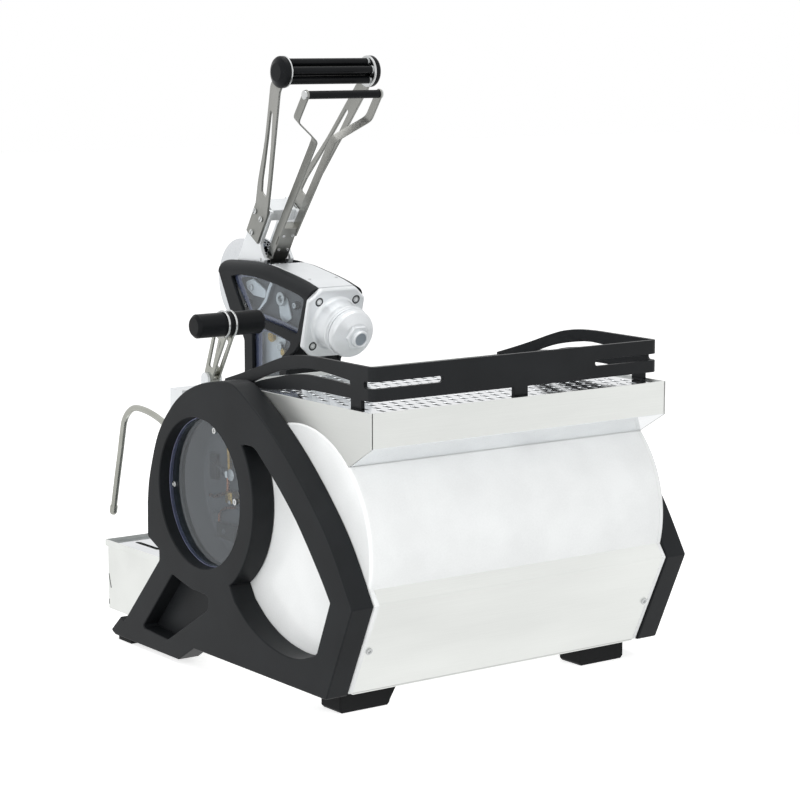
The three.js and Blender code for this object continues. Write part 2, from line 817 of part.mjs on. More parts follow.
piece('cup_tray', trayBody, brushedSteel);

// Perforated plates: rows of slots, every other row shifted by half a pitch.
function perforated(plateBody, half, front, rear, low, high, pitch, slot, margin) {
  const tools = [];
  const rows = Math.floor((rear - front - 2 * margin) / pitch[1]);
  const columns = Math.floor((2 * (half - margin)) / pitch[0]);
  const startY = (front + rear - (rows - 1) * pitch[1]) / 2;
  for (let row = 0; row < rows; row += 1) {
    const count = columns - (row % 2);
    for (let column = 0; column < count; column += 1) {
      const x = (column - (count - 1) / 2) * pitch[0];
      const y = startY + row * pitch[1];
      tools.push(block(
        [x - slot[0] / 2, y - slot[1] / 2, low - overrun],
        [x + slot[0] / 2, y + slot[1] / 2, high + overrun],
      ));
    }
  }
  return cut(plateBody, ...tools);
}
const grateHalf = trayHalf - trayWall - gratePlay;
const grateFront = trayFront + trayWall + gratePlay;
const grateRear = trayRear - trayWall - gratePlay;
const grateTop = trayTop - grateDrop;
piece(
  'cup_grate',
  perforated(
    block([-grateHalf, grateFront, grateTop - grateThickness], [grateHalf, grateRear, grateTop]),
    grateHalf, grateFront, grateRear, grateTop - grateThickness, grateTop,
    [gratePitchX, gratePitchY], [grateSlotLength, grateSlotWidth], grateMargin,
  ),
  polishedSteel,
);

// Cup rail: one flat bar bent round three sides, split by a long slot and carried on posts.
const railFootZ = trayTop + seat;
const railDepth = railRear - railFront;
const railSpot = ([depthShare, heightShare]) => [
  railFront + depthShare * railDepth,
  railFootZ + heightShare * railHeight,
];
const railTopShares = [
  [0.0, 0.06], [0.118, 0.272], [0.239, 0.505], [0.351, 0.735], [0.442, 0.89], [0.53, 0.97],
  [0.625, 1.0], [0.73, 1.0], [0.865, 0.995],
];
const railUnderShares = [
  [0.945, 0.212], [0.93, 0.212], [0.73, 0.215], [0.62, 0.212], [0.505, 0.158], [0.394, 0.07], [0.315, 0.0],
];
const railPostShares = [0.932, 0.865];
const slotTopShares = [
  [0.2, 0.115], [0.283, 0.308], [0.397, 0.515], [0.57, 0.69], [0.677, 0.69], [0.782, 0.65], [0.865, 0.61],
];
const slotUnderShares = [
  [0.882, 0.505], [0.782, 0.535], [0.677, 0.545], [0.57, 0.545], [0.459, 0.47], [0.374, 0.355],
  [0.26, 0.2], [0.2, 0.085],
];
const railBandTop = 0.995;     // share of the rail's height where the back bar ends
const railBandFoot = 0.212;
const railSlotShares = [0.505, 0.655];
const railCornerShare = 0.948; // where the back slot starts on the side, just behind the post
const railSideShape = shapeOf([
  railSpot([0, 0]),
  railSpot([0, 0.06]),
  ...smooth(railTopShares.map(railSpot), 14).slice(1),
  railSpot([1, railBandTop]),
  railSpot([1, railBandFoot]),
  railSpot([railPostShares[0], railBandFoot]),
  railSpot([railPostShares[0], 0]),
  railSpot([railPostShares[1], 0]),
  railSpot([railPostShares[1], railBandFoot]),
  ...railUnderShares.slice(2).map(railSpot),
], [[
  ...smooth(slotTopShares.map(railSpot), 10),
  ...smooth(slotUnderShares.map(railSpot), 12),
]]);
const railSide = plate('x', railSideShape, railHalf - railThickness, railHalf);
const railZ = (heightShare) => railFootZ + heightShare * railHeight;
const railBackBand = block(
  [-railHalf, railRear - railThickness, railZ(railBandFoot)],
  [railHalf, railRear, railZ(railBandTop)],
);
const railPost = block(
  [-railPostHalf, railRear - railThickness, railFootZ],
  [railPostHalf, railRear, railZ(railSlotShares[0])],
);
const railSlot = join(
  block(
    [railBlankHalf, railRear - railThickness - overrun, railZ(railSlotShares[0])],
    [railHalf + overrun, railRear + overrun, railZ(railSlotShares[1])],
  ),
  block(
    [railHalf - railThickness - overrun, railSpot([railCornerShare, 0])[0], railZ(railSlotShares[0])],
    [railHalf + overrun, railRear + overrun, railZ(railSlotShares[1])],
  ),
);
const railFoot = (inner, outer, front, rear) => block(
  [inner, front, grateTop + seat],
  [outer, rear, railFootZ + railThickness / 2],
);
const railInner = railHalf - railThickness;
const [postRear, postFront] = railPostShares.map((depthShare) => railSpot([depthShare, 0])[0]);
const railFeet = bothSides(join(
  railSide,
  railFoot(railInner, railHalf, railFront + railThickness, railFront + railFootLength),
  railFoot(railInner, railHalf, postFront, postRear),
));
piece(
  'cup_rail',
  cut(
    join(
      railFeet,
      railBackBand,
      railPost,
      railFoot(-railPostHalf, railPostHalf, railRear - railThickness, railRear),
    ),
    railSlot,
    mirrored(railSlot),
  ),
  castBlack,
);

// Group: two black cheeks with windows and rounded shoulders, a bent wall and an arched cover.
const cheekOuter = cheekInner + cheekThickness;
const cheekSpot = ([depthShare, heightShare]) => [
  depthShare * cheekDepth - cheekFront,
  cheekFootZ + heightShare * cheekHeight,
];

// Places on the spring's axis: forward or back along it, and across it.
const dip = THREE.MathUtils.degToRad(springDip);
const springSpot = (back, up) => [
  flangeY + back * Math.cos(dip) + up * Math.sin(dip),
  flangeZ - back * Math.sin(dip) + up * Math.cos(dip),
];
const cheekEnd = -flangeThickness - seat;
const crestShares = [
  [0.0, 0.973], [0.043, 0.979], [0.127, 0.983], [0.224, 0.987], [0.321, 0.988], [0.429, 0.983],
  [0.55, 0.97], [0.669, 0.947], [0.8, 0.921], [0.902, 0.896],
];
const crestPath = [...smooth(crestShares.map(cheekSpot), 14), springSpot(cheekEnd, crestEndRise)];
const plateTop = crestPath.slice(0, -1).map(([y, z]) => [y, z - shoulderFall]);
const cheekRearShares = [[0.847, 0.425], [0.8, 0.4], [0.76, 0.33], [0.756, 0.0]];
const cheekFrontShares = [[0.292, 0.0], [0.292, 0.44], [0.262, 0.5], [0.126, 0.645]];
const upperWindowShares = [
  [0.144, 0.877], [0.24, 0.895], [0.415, 0.893], [0.65, 0.865], [0.806, 0.835], [0.945, 0.797],
  [0.94, 0.755], [0.872, 0.545], [0.65, 0.585], [0.49, 0.607], [0.292, 0.627],
];
const lowerWindowShares = [
  [0.384, 0.532], [0.49, 0.548], [0.678, 0.515], [0.808, 0.482], [0.784, 0.44], [0.708, 0.377],
  [0.68, 0.3], [0.676, 0.13], [0.384, 0.13],
];
const cheekShape = shapeOf([
  ...plateTop,
  springSpot(cheekEnd, crestEndRise - shoulderFall / Math.cos(dip)),
  springSpot(cheekEnd, -cheekEndDrop),
  ...cheekRearShares.map(cheekSpot),
  ...cheekFrontShares.map(cheekSpot),
]);
const shoulderArc = (width, fall, foot) => arc([0, 0], 1, 0, 90, shoulderSteps).map(([across, up]) => [
  crestInner + width * across,
  foot - fall * (1 - up),
]);
const shoulderFoot = -shoulderFall - shoulderLap;
const shoulderHollow = shoulderFall - cheekThickness - shoulderWall / 2;
const shoulderSection = [
  ...shoulderArc(cheekInner - crestInner, shoulderHollow, -shoulderWall).reverse(),
  [cheekInner, shoulderFoot],
  [cheekOuter, shoulderFoot],
  ...shoulderArc(cheekOuter - crestInner, shoulderFall, 0),
];
const cheekShoulder = carried(shoulderSection, crestPath, Math.tan(dip));
const shaftSeat = cheekInner + shaftSink;
const windowCut = (shares) => plate(
  'x', shapeOf(shares.map(cheekSpot)), cheekInner - seat, cheekOuter + overrun,
);
const cheekBody = cut(
  join(plate('x', cheekShape, cheekInner, cheekOuter), cheekShoulder),
  windowCut(upperWindowShares),
  windowCut(lowerWindowShares),
  bar('x', shaftRadius + seat, cheekInner - overrun, shaftSeat, [pivotY, pivotZ]),
);
pair('group_cheek', cheekBody, castBlack);

// Clear panes: one sheet behind the two windows of each cheek.
const paneShares = [
  [0.115, 0.89], [0.24, 0.903], [0.415, 0.901], [0.65, 0.873], [0.82, 0.845], [0.95, 0.806],
  [0.955, 0.755], [0.885, 0.53], [0.742, 0.43], [0.708, 0.35], [0.708, 0.09], [0.35, 0.09], [0.35, 0.6],
];
const paneOuter = cheekInner - seat;
const paneInner = paneOuter - paneThickness;
pair('group_pane', plate('x', shapeOf(paneShares.map(cheekSpot)), paneInner, paneOuter), clearGlass);

const endWallBack = -plugDepth - seat;
const endWallPath = [
  springSpot(endWallBack, endWallRise),
  springSpot(endWallBack, -endWallDrop),
];
const columnRear = cheekSpot([0.756, 0])[0];
const columnFront = cheekSpot([0.292, 0])[0];
const columnFrontTop = cheekSpot([0.292, 0.42])[1];
const columnRearTop = cheekSpot([0.756, 0.36])[1];
const wallPath = [
  ...endWallPath,
  [columnRear, columnRearTop],
  [columnRear, cheekFootZ],
  [columnFront, cheekFootZ],
  [columnFront, columnFrontTop],
];
const wallHalf = cheekInner - seat;
const rodHole = pistonRodRadius + 2 * seat;
const paneRoom = block(
  [paneInner - seat, -cheekFront, cheekSpot([0, 0.39])[1]],
  [wallHalf + overrun, flangeY, cheekFootZ + cheekHeight],
);
piece(
  'group_frame',
  cut(
    plate('x', bentSheet(wallPath, -wallThickness), -wallHalf, wallHalf),
    paneRoom,
    mirrored(paneRoom),
    bar('z', rodHole, cheekFootZ - overrun, cheekFootZ + wallThickness + overrun, [0, groupY]),
    bar('y', plungerRodRadius + seat, -plugDepth * 2, plugDepth, [0, 0])
      .rotateX(-dip).translate(0, flangeY, flangeZ),
  ),
  castBlack,
);

const coverHalf = crestInner - seat;
const coverPath = crestPath
  .filter(([y]) => y > cheekSpot([0.44, 0])[0])
  .map(([y, z]) => [y, z + coverProud]);
piece(
  'group_top_cover',
  plate('x', bentSheet([...coverPath].reverse(), coverThickness), -coverHalf, coverHalf),
  castSilver,
);

// Spring housing: an octagonal flange, a round barrel and a cap, drawn along their own axis.
const springHousing = new THREE.Group();
springHousing.position.set(0, flangeY, flangeZ);
springHousing.rotation.x = -dip;
machine.add(springHousing);
const springAxis = [0, 0];
const octagon = (halfWidth, halfHeight, cornerX, cornerZ) => shapeOf([
  [halfWidth, -cornerZ],
  [halfWidth, cornerZ],
  [cornerX, halfHeight],
  [-cornerX, halfHeight],
  [-halfWidth, cornerZ],
  [-halfWidth, -cornerZ],
  [-cornerX, -halfHeight],
  [cornerX, -halfHeight],
]);
const flangeShape = octagon(flangeHalfWidth, flangeHalfHeight, flangeCornerX, flangeCornerZ);
const plugShape = octagon(paneInner - seat, plugHalfHeight, plugCornerX, plugCornerZ);
const boltHeads = [boltX, -boltX].flatMap((x) => [boltZ, -boltZ].map(
  (z) => bar('y', boltRadius, -boltHead, boltHead, [x, z], coarse / 2),
));
const springFoot = flangeFloor - plugDepth;
piece(
  'spring_housing',
  cut(
    join(
      plate('y', plugShape, -plugDepth, -flangeThickness / 2),
      plate('y', flangeShape, -flangeThickness, 0, flangeEdge),
      bar('y', barrelOuter, -flangeThickness / 2, springBarrelLength, springAxis, fine),
      ...boltHeads,
    ),
    bar('y', springBore, springFoot, springBarrelLength + overrun, springAxis, fine),
    bar('y', plungerRodRadius + seat, -plugDepth - overrun, overrun, springAxis),
  ),
  castSilver,
  springHousing,
);

const capFoot = springBarrelLength + seat;
const capEnd = capFoot + capLength;
piece(
  'spring_cap',
  cut(
    join(
      turned('y', [
        [0, capFoot],
        [capRadius, capFoot],
        [capRadius, capEnd - capChamfer],
        [capRadius - capChamfer, capEnd],
        [0, capEnd],
      ], springAxis, fine),
      bar('y', capHexRadius, capEnd - overrun, capEnd + capHexLength, springAxis, 6),
      bar('y', capBossRadius, capEnd, capEnd + capHexLength + capBossLength, springAxis),
    ),
    bar('y', capBore, capFoot - overrun, capEnd - overrun, springAxis, fine),
    bar('y', capEyeRadius, capFoot, capEnd + capHexLength + capBossLength + overrun, springAxis),
  ),
  castSilver,
  springHousing,
);

const discRear = plungerDiscAt + plungerDiscThickness;
const eyeAxis = [-plungerEyeAt, 0];
piece(
  'spring_plunger',
  cut(
    join(
      bar('y', plungerRodRadius, -plungerEyeAt + plungerEyeHole + overrun / 2, discRear, springAxis),
      bar('y', plungerDiscRadius, plungerDiscAt, discRear, springAxis, fine),
      bar('x', plungerEyeRadius, -plungerEyeThickness / 2, plungerEyeThickness / 2, eyeAxis),
    ),
    bar('x', plungerEyeHole, -plungerEyeThickness, plungerEyeThickness, eyeAxis),
  ),
  polishedSteel,
  springHousing,
);

const coilFrom = springFoot + springWire + seat;
const coilTo = plungerDiscAt - springWire - seat;
const coilSteps = springTurns * coilTurnSteps;
const coil = Array.from({ length: coilSteps + 1 }, (unused, i) => {
  const angle = (i / coilSteps) * springTurns * 2 * Math.PI;
  return [
    springMeanRadius * Math.cos(angle),
    coilFrom + ((coilTo - coilFrom) * i) / coilSteps,
    springMeanRadius * Math.sin(angle),
  ];
});
piece('main_spring', tube(coil, springWire, coilSteps, coilSides), castBlack, springHousing);

// Brewing chamber: the bell under the cheeks, with its piston, screen and gasket.
const chamberAxis = [0, groupY];
const bellTop = cheekFootZ - seat;
piece(
  'group_bell',
  cut(
    join(
      bar('z', bellRadius, bellFootZ, bellTop, chamberAxis, fine),
      block([-bellNeckHalf, groupY, bellNeckFootZ], [bellNeckHalf, frontY - seat, bellTop]),
    ),
    bar('z', chamberRadius, chamberFootZ - overrun, bellTop - chamberRoof, chamberAxis, fine),
    bar('z', skirtRadius, bellFootZ - overrun, chamberFootZ, chamberAxis, fine),
    bar('z', pistonRodRadius + seat, chamberFootZ, bellTop + overrun, chamberAxis),
  ),
  castSilver,
);

const ring = (outer, inner, low, high, axis) => turned('z', [
  [inner, low],
  [outer, low],
  [outer, high],
  [inner, high],
], axis, fine);
const gasketFoot = chamberFootZ - seat - gasketHeight;
piece(
  'bell_gasket',
  ring(skirtRadius - seat, gasketInner, gasketFoot, chamberFootZ - seat, chamberAxis),
  rubberBlack,
);
const screenFoot = gasketFoot + screenLift;
piece(
  'shower_screen',
  bar('z', gasketInner - seat, screenFoot, screenFoot + screenThickness, chamberAxis, fine),
  polishedSteel,
);
const pistonFoot = chamberFootZ + pistonLift;
piece(
  'piston',
  join(
    bar('z', chamberRadius - seat, pistonFoot, pistonFoot + pistonHeight, chamberAxis, fine),
    bar('z', pistonRodRadius, pistonFoot, pistonFoot + pistonHeight + pistonRodLength, chamberAxis),
  ),
  polishedSteel,
);

// Portafilter: a rimmed cup with two spouts, a loose basket and a handle.
const lipFoot = gasketFoot - seat - basketLipHeight;
const rimTop = lipFoot - seat;
const spout = join(
  bar('x', spoutRadius, 0, spoutHalf, [groupY, filterConeFootZ]),
  bar('z', spoutRadius, filterConeFootZ - spoutHeight, filterConeFootZ, [spoutHalf, groupY]),
);
piece(
  'portafilter',
  cut(
    join(
      turned('z', [
        [0, filterConeFootZ - spoutRadius],
        [filterConeRadius, filterConeFootZ],
        [filterConeRadius, filterCupFootZ],
        [filterBodyRadius, filterBodyFootZ],
        [filterBodyRadius, rimTop - filterRimHeight],
        [skirtRadius - 2 * seat, rimTop - filterRimHeight],
        [skirtRadius - 2 * seat, rimTop],
        [0, rimTop],
      ], chamberAxis, fine),
      spout,
      mirrored(spout),
      bar('y', filterNeckRadius, groupY - filterBodyRadius - filterNeckLength, groupY, [0, filterHandleZ]),
    ),
    bar('z', filterBore + seat, filterBodyFootZ, rimTop + overrun, chamberAxis, fine),
  ),
  polishedSteel,
);
const basketFoot = filterBodyFootZ + seat;
const basketLipTop = lipFoot + basketLipHeight;
piece(
  'filter_basket',
  turned('z', [
    [0, basketFoot],
    [filterBore, basketFoot],
    [filterBore, lipFoot],
    [basketLipRadius, lipFoot],
    [basketLipRadius, basketLipTop],
    [filterBore - basketWall, basketLipTop],
    [filterBore - basketWall, basketFoot + basketWall],
    [0, basketFoot + basketWall],
  ], chamberAxis, fine),
  polishedSteel,
);
const handleFront = filterHandleEnd;
const handleRear = groupY - filterBodyRadius - filterNeckLength - seat;
const handleShares = [
  [0, 0], [0.6, 0.0], [0.86, 0.04], [1.0, 0.14], [0.98, 0.34], [0.82, 0.62], [0.72, 0.8], [0.8, 0.95],
  [0.8, 1.0], [0, 1.0],
];
piece(
  'portafilter_handle',
  turned('y', handleShares.map(([radiusShare, lengthShare]) => [
    filterHandleRadius * radiusShare,
    handleFront + (handleRear - handleFront) * lengthShare,
  ]), [0, filterHandleZ]),
  gripBlack,
);

// Lever, drawn upright from its pivot: Y is behind its centre line and Z along it.
const lever = new THREE.Group();
lever.position.set(0, pivotY, pivotZ);
lever.rotation.x = -THREE.MathUtils.degToRad(leverLean);
machine.add(lever);
const pivot = [0, 0];
const triggerHub = [triggerHubV, triggerHubU];
const forkShape = shapeOf([
  ...arc(pivot, forkHalf, 180, 360, 16),
  [forkHalf, triggerHubU - triggerLugRadius * 2],
  ...arc(triggerHub, triggerLugRadius, -50, 90, 8),
  [forkHalf, triggerHubU + triggerLugRadius * 2],
  [forkHalf, forkWebTop],
  [-forkHalf, forkWebTop],
], [circle(pivot, shaftRadius + seat, coarse)]);
const forkPlate = plate('x', forkShape, forkInner, forkOuter);
piece(
  'lever_fork',
  join(
    forkPlate,
    mirrored(forkPlate),
    bar('x', triggerPinRadius, -forkOuter, forkOuter, triggerHub, coarse / 2),
    block([-forkOuter, -forkWebHalf, forkWebFoot], [forkOuter, forkWebHalf, forkWebTop]),
  ),
  castBlack,
  lever,
);

const shaftHalf = shaftSeat - seat;
piece(
  'pivot_shaft',
  join(
    bar('x', shaftRadius, -shaftHalf, shaftHalf, pivot),
    bar('x', camRadius, -camHalf, camHalf, [camOffset, 0], fine),
  ),
  polishedSteel,
  lever,
);

const wheelOuter = forkInner - seat;
const wheelProfile = [
  [shaftRadius + seat, wheelInner],
  [wheelRadius, wheelInner],
  [wheelRadius, wheelInner + wheelFin],
  [wheelGroove, wheelInner + wheelFin],
  [wheelGroove, wheelInner + 2 * wheelFin],
  [wheelRadius, wheelInner + 2 * wheelFin],
  [wheelRadius, wheelInner + 3 * wheelFin],
  [wheelHub, wheelInner + 3 * wheelFin],
  [wheelHub, wheelOuter - wheelDisc],
  [wheelRadius, wheelOuter - wheelDisc],
  [wheelRadius, wheelOuter],
  [shaftRadius + seat, wheelOuter],
];
pair('ratchet_wheel', turned('x', wheelProfile, pivot, fine), polishedSteel, lever);

// Lever arms: flat bars that spread from the fork to the grip, each with a long slot.
const armInner = forkOuter + seat;
const armTop = leverReach + armLugRadius;
const armPath = [[armInner, armFoot], [armInner, armBend], [armTopX, armTopBend], [armTopX, armTop]];
const armSpot = ([widthShare, lengthShare]) => [
  armHalfFoot * widthShare,
  armFoot + (leverReach - armFoot) * lengthShare,
];
const armRearShares = [[1.0, 0.0], [1.0, 0.175], [1.0, 0.29], [0.93, 0.433], [0.8, 0.62], [0.62, 0.887]];
const armFrontShares = [
  [-0.83, 0.887], [-0.72, 0.62], [-0.75, 0.54], [-0.88, 0.44], [-0.99, 0.36], [-1.05, 0.29], [-1.02, 0.175],
  [-1.0, 0.0],
];
const armSlotShares = [
  [0.5, 0.27], [0.5, 0.36], [0.25, 0.6], [-0.05, 0.76], [-0.4, 0.766], [-0.32, 0.62], [-0.2, 0.42],
  [-0.22, 0.33], [-0.1, 0.27],
];
const grip = [0, leverReach];
const armSideShape = shapeOf(
  [
    ...smooth(armRearShares.map(armSpot), 12),
    ...arc(grip, armLugRadius, -20, 220, 14),
    ...smooth(armFrontShares.map(armSpot), 12),
  ],
  [armSlotShares.map(armSpot)],
);
pair(
  'lever_arm',
  common(
    plate('y', bentSheet(armPath, -armThickness), -armHalfFoot - overrun, armHalfFoot + overrun),
    plate('x', armSideShape, 0, armTopX + 2 * armThickness),
  ),
  castSilver,
  lever,
);

// Grip: a ring of rods between two discs, closed by black domes outside the arms.
const discOuter = armTopX - seat;
const discInner = discOuter - gripDiscThickness;
const rods = Array.from({ length: gripRodCount }, (unused, i) => {
  const angle = ((i + rodTurnShare) / gripRodCount) * 2 * Math.PI;
  const place = [gripRodCircle * Math.cos(angle), leverReach + gripRodCircle * Math.sin(angle)];
  return bar('x', gripRodRadius, -discOuter, discOuter, place, coarse / 2);
});
piece(
  'lever_grip',
  join(
    bar('x', gripDiscRadius, discInner, discOuter, grip, fine),
    bar('x', gripDiscRadius, -discOuter, -discInner, grip, fine),
    bar('x', gripCoreRadius, -discOuter, discOuter, grip),
    ...rods,
  ),
  gripBlack,
  lever,
);

const domeFoot = discOuter + seat;
const lugRecess = armTopX + armThickness + seat;
pair(
  'grip_end',
  cut(
    turned('x', [
      [0, domeFoot],
      [gripDiscRadius, domeFoot],
      [gripDiscRadius, domeFoot + gripDomeLength * domeShoulderShare],
      [gripDomeTop, domeFoot + gripDomeLength],
      [0, domeFoot + gripDomeLength],
    ], [0, leverReach], fine),
    bar('x', armLugRadius + seat, domeFoot - overrun, lugRecess, grip),
    block(
      [domeFoot - overrun, -armHalfFoot, leverReach - gripDiscRadius - overrun],
      [lugRecess, armLugRadius, leverReach],
    ),
  ),
  gripBlack,
  lever,
);

// Trigger: a second, thinner fork behind the lever, with a bar that is squeezed to the grip.
const strapPath = [
  [strapFootX, triggerBlockTop - strapWidth],
  [strapNeckX, strapNeckU],
  [strapTopX, strapElbowU],
  [strapTopX, strapTopU + strapWidth / 2],
];
const strapFootV = triggerHubV + strapThickness;
const strapHeadV = strapFootV + strapLean;
const strapSideShape = shapeOf([
  [strapFootV - strapWidth / 2, triggerBlockTop - strapWidth],
  [strapFootV + strapWidth / 2, triggerBlockTop - strapWidth],
  [strapHeadV + strapWidth / 2, strapTopU],
  ...arc([strapHeadV, strapTopU], strapWidth / 2, 0, 180, 8).slice(1),
]);
const strap = common(
  plate('y', bentSheet(strapPath, -strapThickness), triggerHubV - strapWidth, strapHeadV + strapWidth),
  plate('x', strapSideShape, 0, strapTopX + 2 * strapThickness),
);
const triggerBar = [strapHeadV, strapTopU];
const strapOuter = strapTopX + strapThickness;
const bossEnd = strapOuter + triggerBossLength;
const boss = bar('x', triggerBossRadius, strapOuter - strapThickness, bossEnd, triggerBar);
const triggerBlock = join(
  bar('x', triggerHubRadius, -triggerBlockHalf, triggerBlockHalf, triggerHub),
  block(
    [-triggerBlockHalf, triggerHubV - triggerHubRadius, triggerHubU],
    [triggerBlockHalf, triggerHubV + triggerHubRadius, triggerBlockFoot + triggerHubRadius],
  ),
  block(
    [-triggerBlockHalf, triggerHubV - triggerHubRadius, triggerBlockFoot],
    [triggerBlockHalf, triggerHubV - triggerHubRadius + triggerBlockDepth, triggerBlockTop],
  ),
);
piece(
  'trigger_fork',
  cut(
    join(triggerBlock, strap, mirrored(strap), boss, mirrored(boss)),
    bar('x', triggerPinRadius + seat, -triggerBlockHalf - overrun, triggerBlockHalf + overrun, triggerHub),
  ),
  castSilver,
  lever,
);
const triggerBarHalf = strapTopX - seat;
piece(
  'trigger_bar',
  bar('x', triggerBarRadius, -triggerBarHalf, triggerBarHalf, triggerBar),
  polishedSteel,
  lever,
);

// Steam valve with its lever and wand.
const bracketInner = steamPlateX[0] - steamPlateThickness / 2;
const bracketOuter = steamPlateX[1] + steamPlateThickness / 2;
const steamPin = [steamY, steamZ];
const valveRear = frontY - seat;
const ear = (from, to) => join(
  bar('x', steamHubRadius, from, to, steamPin),
  block([from, steamY - steamHubRadius, valveTopZ - steamEar], [to, valveRear, steamZ]),
);
const socketFront = wandY + wandSocketBack;
const socketBore = wandBallRadius + 2 * seat;
piece(
  'steam_valve',
  cut(
    join(
      block([valveInner, valveFront, valveFootZ], [valveOuter, valveRear, valveTopZ]),
      ear(bracketInner - seat - steamEar, bracketInner - seat),
      ear(bracketOuter + seat, bracketOuter + seat + steamEar),
      bar('x', steamPinRadius, bracketInner - steamEar, bracketOuter + steamEar, steamPin, coarse / 2),
      bar('y', wandSocketRadius, socketFront, valveRear, [wandX, wandZ], coarse),
    ),
    bar('y', socketBore, socketFront - overrun, wandY + wandBallRadius + seat, [wandX, wandZ]),
  ),
  castSilver,
);

const steamLean = Math.atan2(steamGripY - steamY, steamGripZ - steamZ);
const steamReach = Math.hypot(steamGripY - steamY, steamGripZ - steamZ);
const slotFoot = steamHubRadius * 2;
const slotTop = steamReach - steamCollarRadius * 1.3;
const legShape = shapeOf([
  [-steamLegFoot, 0],
  [steamLegFoot, 0],
  [steamLegTop, steamReach],
  [-steamLegTop, steamReach],
], [[
  [-steamLegFoot / 2, slotFoot],
  [-steamLegTop / 2, slotTop],
  [steamLegTop / 2, slotTop],
  [steamLegFoot / 2, slotFoot],
]]);
const steamPlateHalf = steamPlateThickness / 2;
const bracketPlates = steamPlateX.flatMap((x) => [
  plate('x', legShape, x - steamPlateHalf, x + steamPlateHalf),
  bar('x', steamCollarRadius, x - steamPlateHalf, x + steamPlateHalf, [0, steamReach], fine),
]);
piece(
  'steam_lever_bracket',
  cut(
    join(bar('x', steamHubRadius, bracketInner, bracketOuter, [0, 0]), ...bracketPlates),
    bar('x', steamPinRadius + seat, bracketInner - overrun, bracketOuter + overrun, [0, 0]),
    bar('x', steamGripRadius + seat, bracketInner - overrun, bracketOuter + overrun, [0, steamReach], fine),
  ).rotateX(-steamLean).translate(0, steamY, steamZ),
  polishedSteel,
);
piece(
  'steam_lever_grip',
  turned('x', [
    [0, steamGripFrom],
    [steamGripRadius - steamGripChamfer, steamGripFrom],
    [steamGripRadius, steamGripFrom + steamGripChamfer],
    [steamGripRadius, steamGripTo - steamGripChamfer],
    [steamGripRadius - steamGripChamfer, steamGripTo],
    [0, steamGripTo],
  ], [steamGripY, steamGripZ], fine),
  gripBlack,
);

const wandShares = [
  [0.02, 0.0], [0.228, -0.5], [0.396, -0.746], [0.545, -0.82], [0.645, -0.72], [0.73, -0.36],
  [0.785, 0.15], [0.815, 0.85], [0.855, 1.929], [0.9125, 3.375], [0.972, 4.95],
];
const wandPath = wandShares.map(([reachShare, dropShare]) => [
  wandX,
  wandY - wandReach * reachShare,
  wandZ - wandRise * dropShare,
]);
const wandTip = wandPath[wandPath.length - 1];
const wandBefore = wandPath[wandPath.length - 2];
const tipLean = Math.atan2(wandTip[1] - wandBefore[1], wandTip[2] - wandBefore[2]);
piece(
  'steam_wand',
  join(
    new THREE.SphereGeometry(wandBallRadius, coarse, coarse / 2).translate(wandX, wandY, wandZ),
    tube(wandPath, wandRadius, fine, coarse / 2),
    bar('z', wandTipRadius, 0, wandTipLength, [0, 0], coarse / 2)
      .rotateX(-tipLean).translate(...wandTip),
  ),
  polishedSteel,
);

// Front controls.
const gaugeRear = frontY - seat;
piece(
  'pressure_gauge',
  turned('y', [
    [0, gaugeRear - gaugeDepth + gaugeRecess],
    [gaugeRadius - gaugeBezel, gaugeRear - gaugeDepth + gaugeRecess],
    [gaugeRadius - gaugeBezel, gaugeRear - gaugeDepth],
    [gaugeRadius, gaugeRear - gaugeDepth],
    [gaugeRadius, gaugeRear],
    [0, gaugeRear],
  ], [gaugeX, gaugeZ], fine),
  dialWhite,
);
piece(
  'hot_water_button',
  bar('y', buttonRadius, frontY - buttonProud, frontY + buttonDepth, [buttonX, buttonZ]),
  gripBlack,
);
const knobFront = gaugeRear - switchDepth;
piece(
  'main_switch',
  join(
    bar('y', switchRadius, knobFront + switchGripHalf, gaugeRear, [switchX, switchZ], fine),
    block(
      [switchX - switchGripHalf, knobFront, switchZ - switchRadius],
      [switchX + switchGripHalf, gaugeRear, switchZ + switchRadius],
    ),
  ),
  gripBlack,
);
const spigotShares = [[0, 0], [0.5, 0.0], [0.82, 0.08], [0.97, 0.38], [1.0, 1.0]];
piece(
  'hot_water_spout',
  tube(spigotShares.map(([reachShare, dropShare]) => [
    spigotX,
    gaugeRear - spigotReach * reachShare,
    spigotZ - spigotDrop * dropShare,
  ]), spigotRadius, coarse, coarse / 2),
  polishedSteel,
);

// Inside the body: the steam boiler on two saddles and the pump.
const boilerAxis = [boilerY, boilerZ];
const panTop = floorZ + sheet + seat;
const saddle = block(
  [saddleX - saddleHalf, boilerY - saddleDepthHalf, panTop],
  [saddleX + saddleHalf, boilerY + saddleDepthHalf, boilerZ],
);
const boilerForm = (radius, half) => turned('x', [
  [0, -half],
  [radius * boilerEndShare, boilerDish / 2 - half],
  [radius, boilerDish - half],
  [radius, half - boilerDish],
  [radius * boilerEndShare, half - boilerDish / 2],
  [0, half],
], boilerAxis, fine);
piece(
  'steam_boiler',
  join(
    cut(
      join(boilerForm(boilerRadius, boilerHalf), saddle, mirrored(saddle)),
      boilerForm(boilerRadius - boilerWall, boilerHalf - boilerWall),
      bar('x', boilerPort, -boilerHalf - overrun, boilerDish - boilerHalf, boilerAxis),
    ),
    bar('x', boilerFitting, boilerHalf - boilerDish, boilerHalf + boilerWall, boilerAxis),
  ),
  copper,
);
const pumpAxis = [pumpY, pumpZ];
piece(
  'pump',
  join(
    bar('x', pumpRadius, pumpFrom + pumpHeadLength, pumpTo, pumpAxis, fine),
    bar('x', pumpHeadRadius, pumpFrom, pumpTo - pumpHeadLength, pumpAxis),
    block([pumpFrom + pumpHeadLength, pumpY - pumpFootHalf, panTop], [pumpTo, pumpY + pumpFootHalf, pumpZ]),
  ),
  castSilver,
);

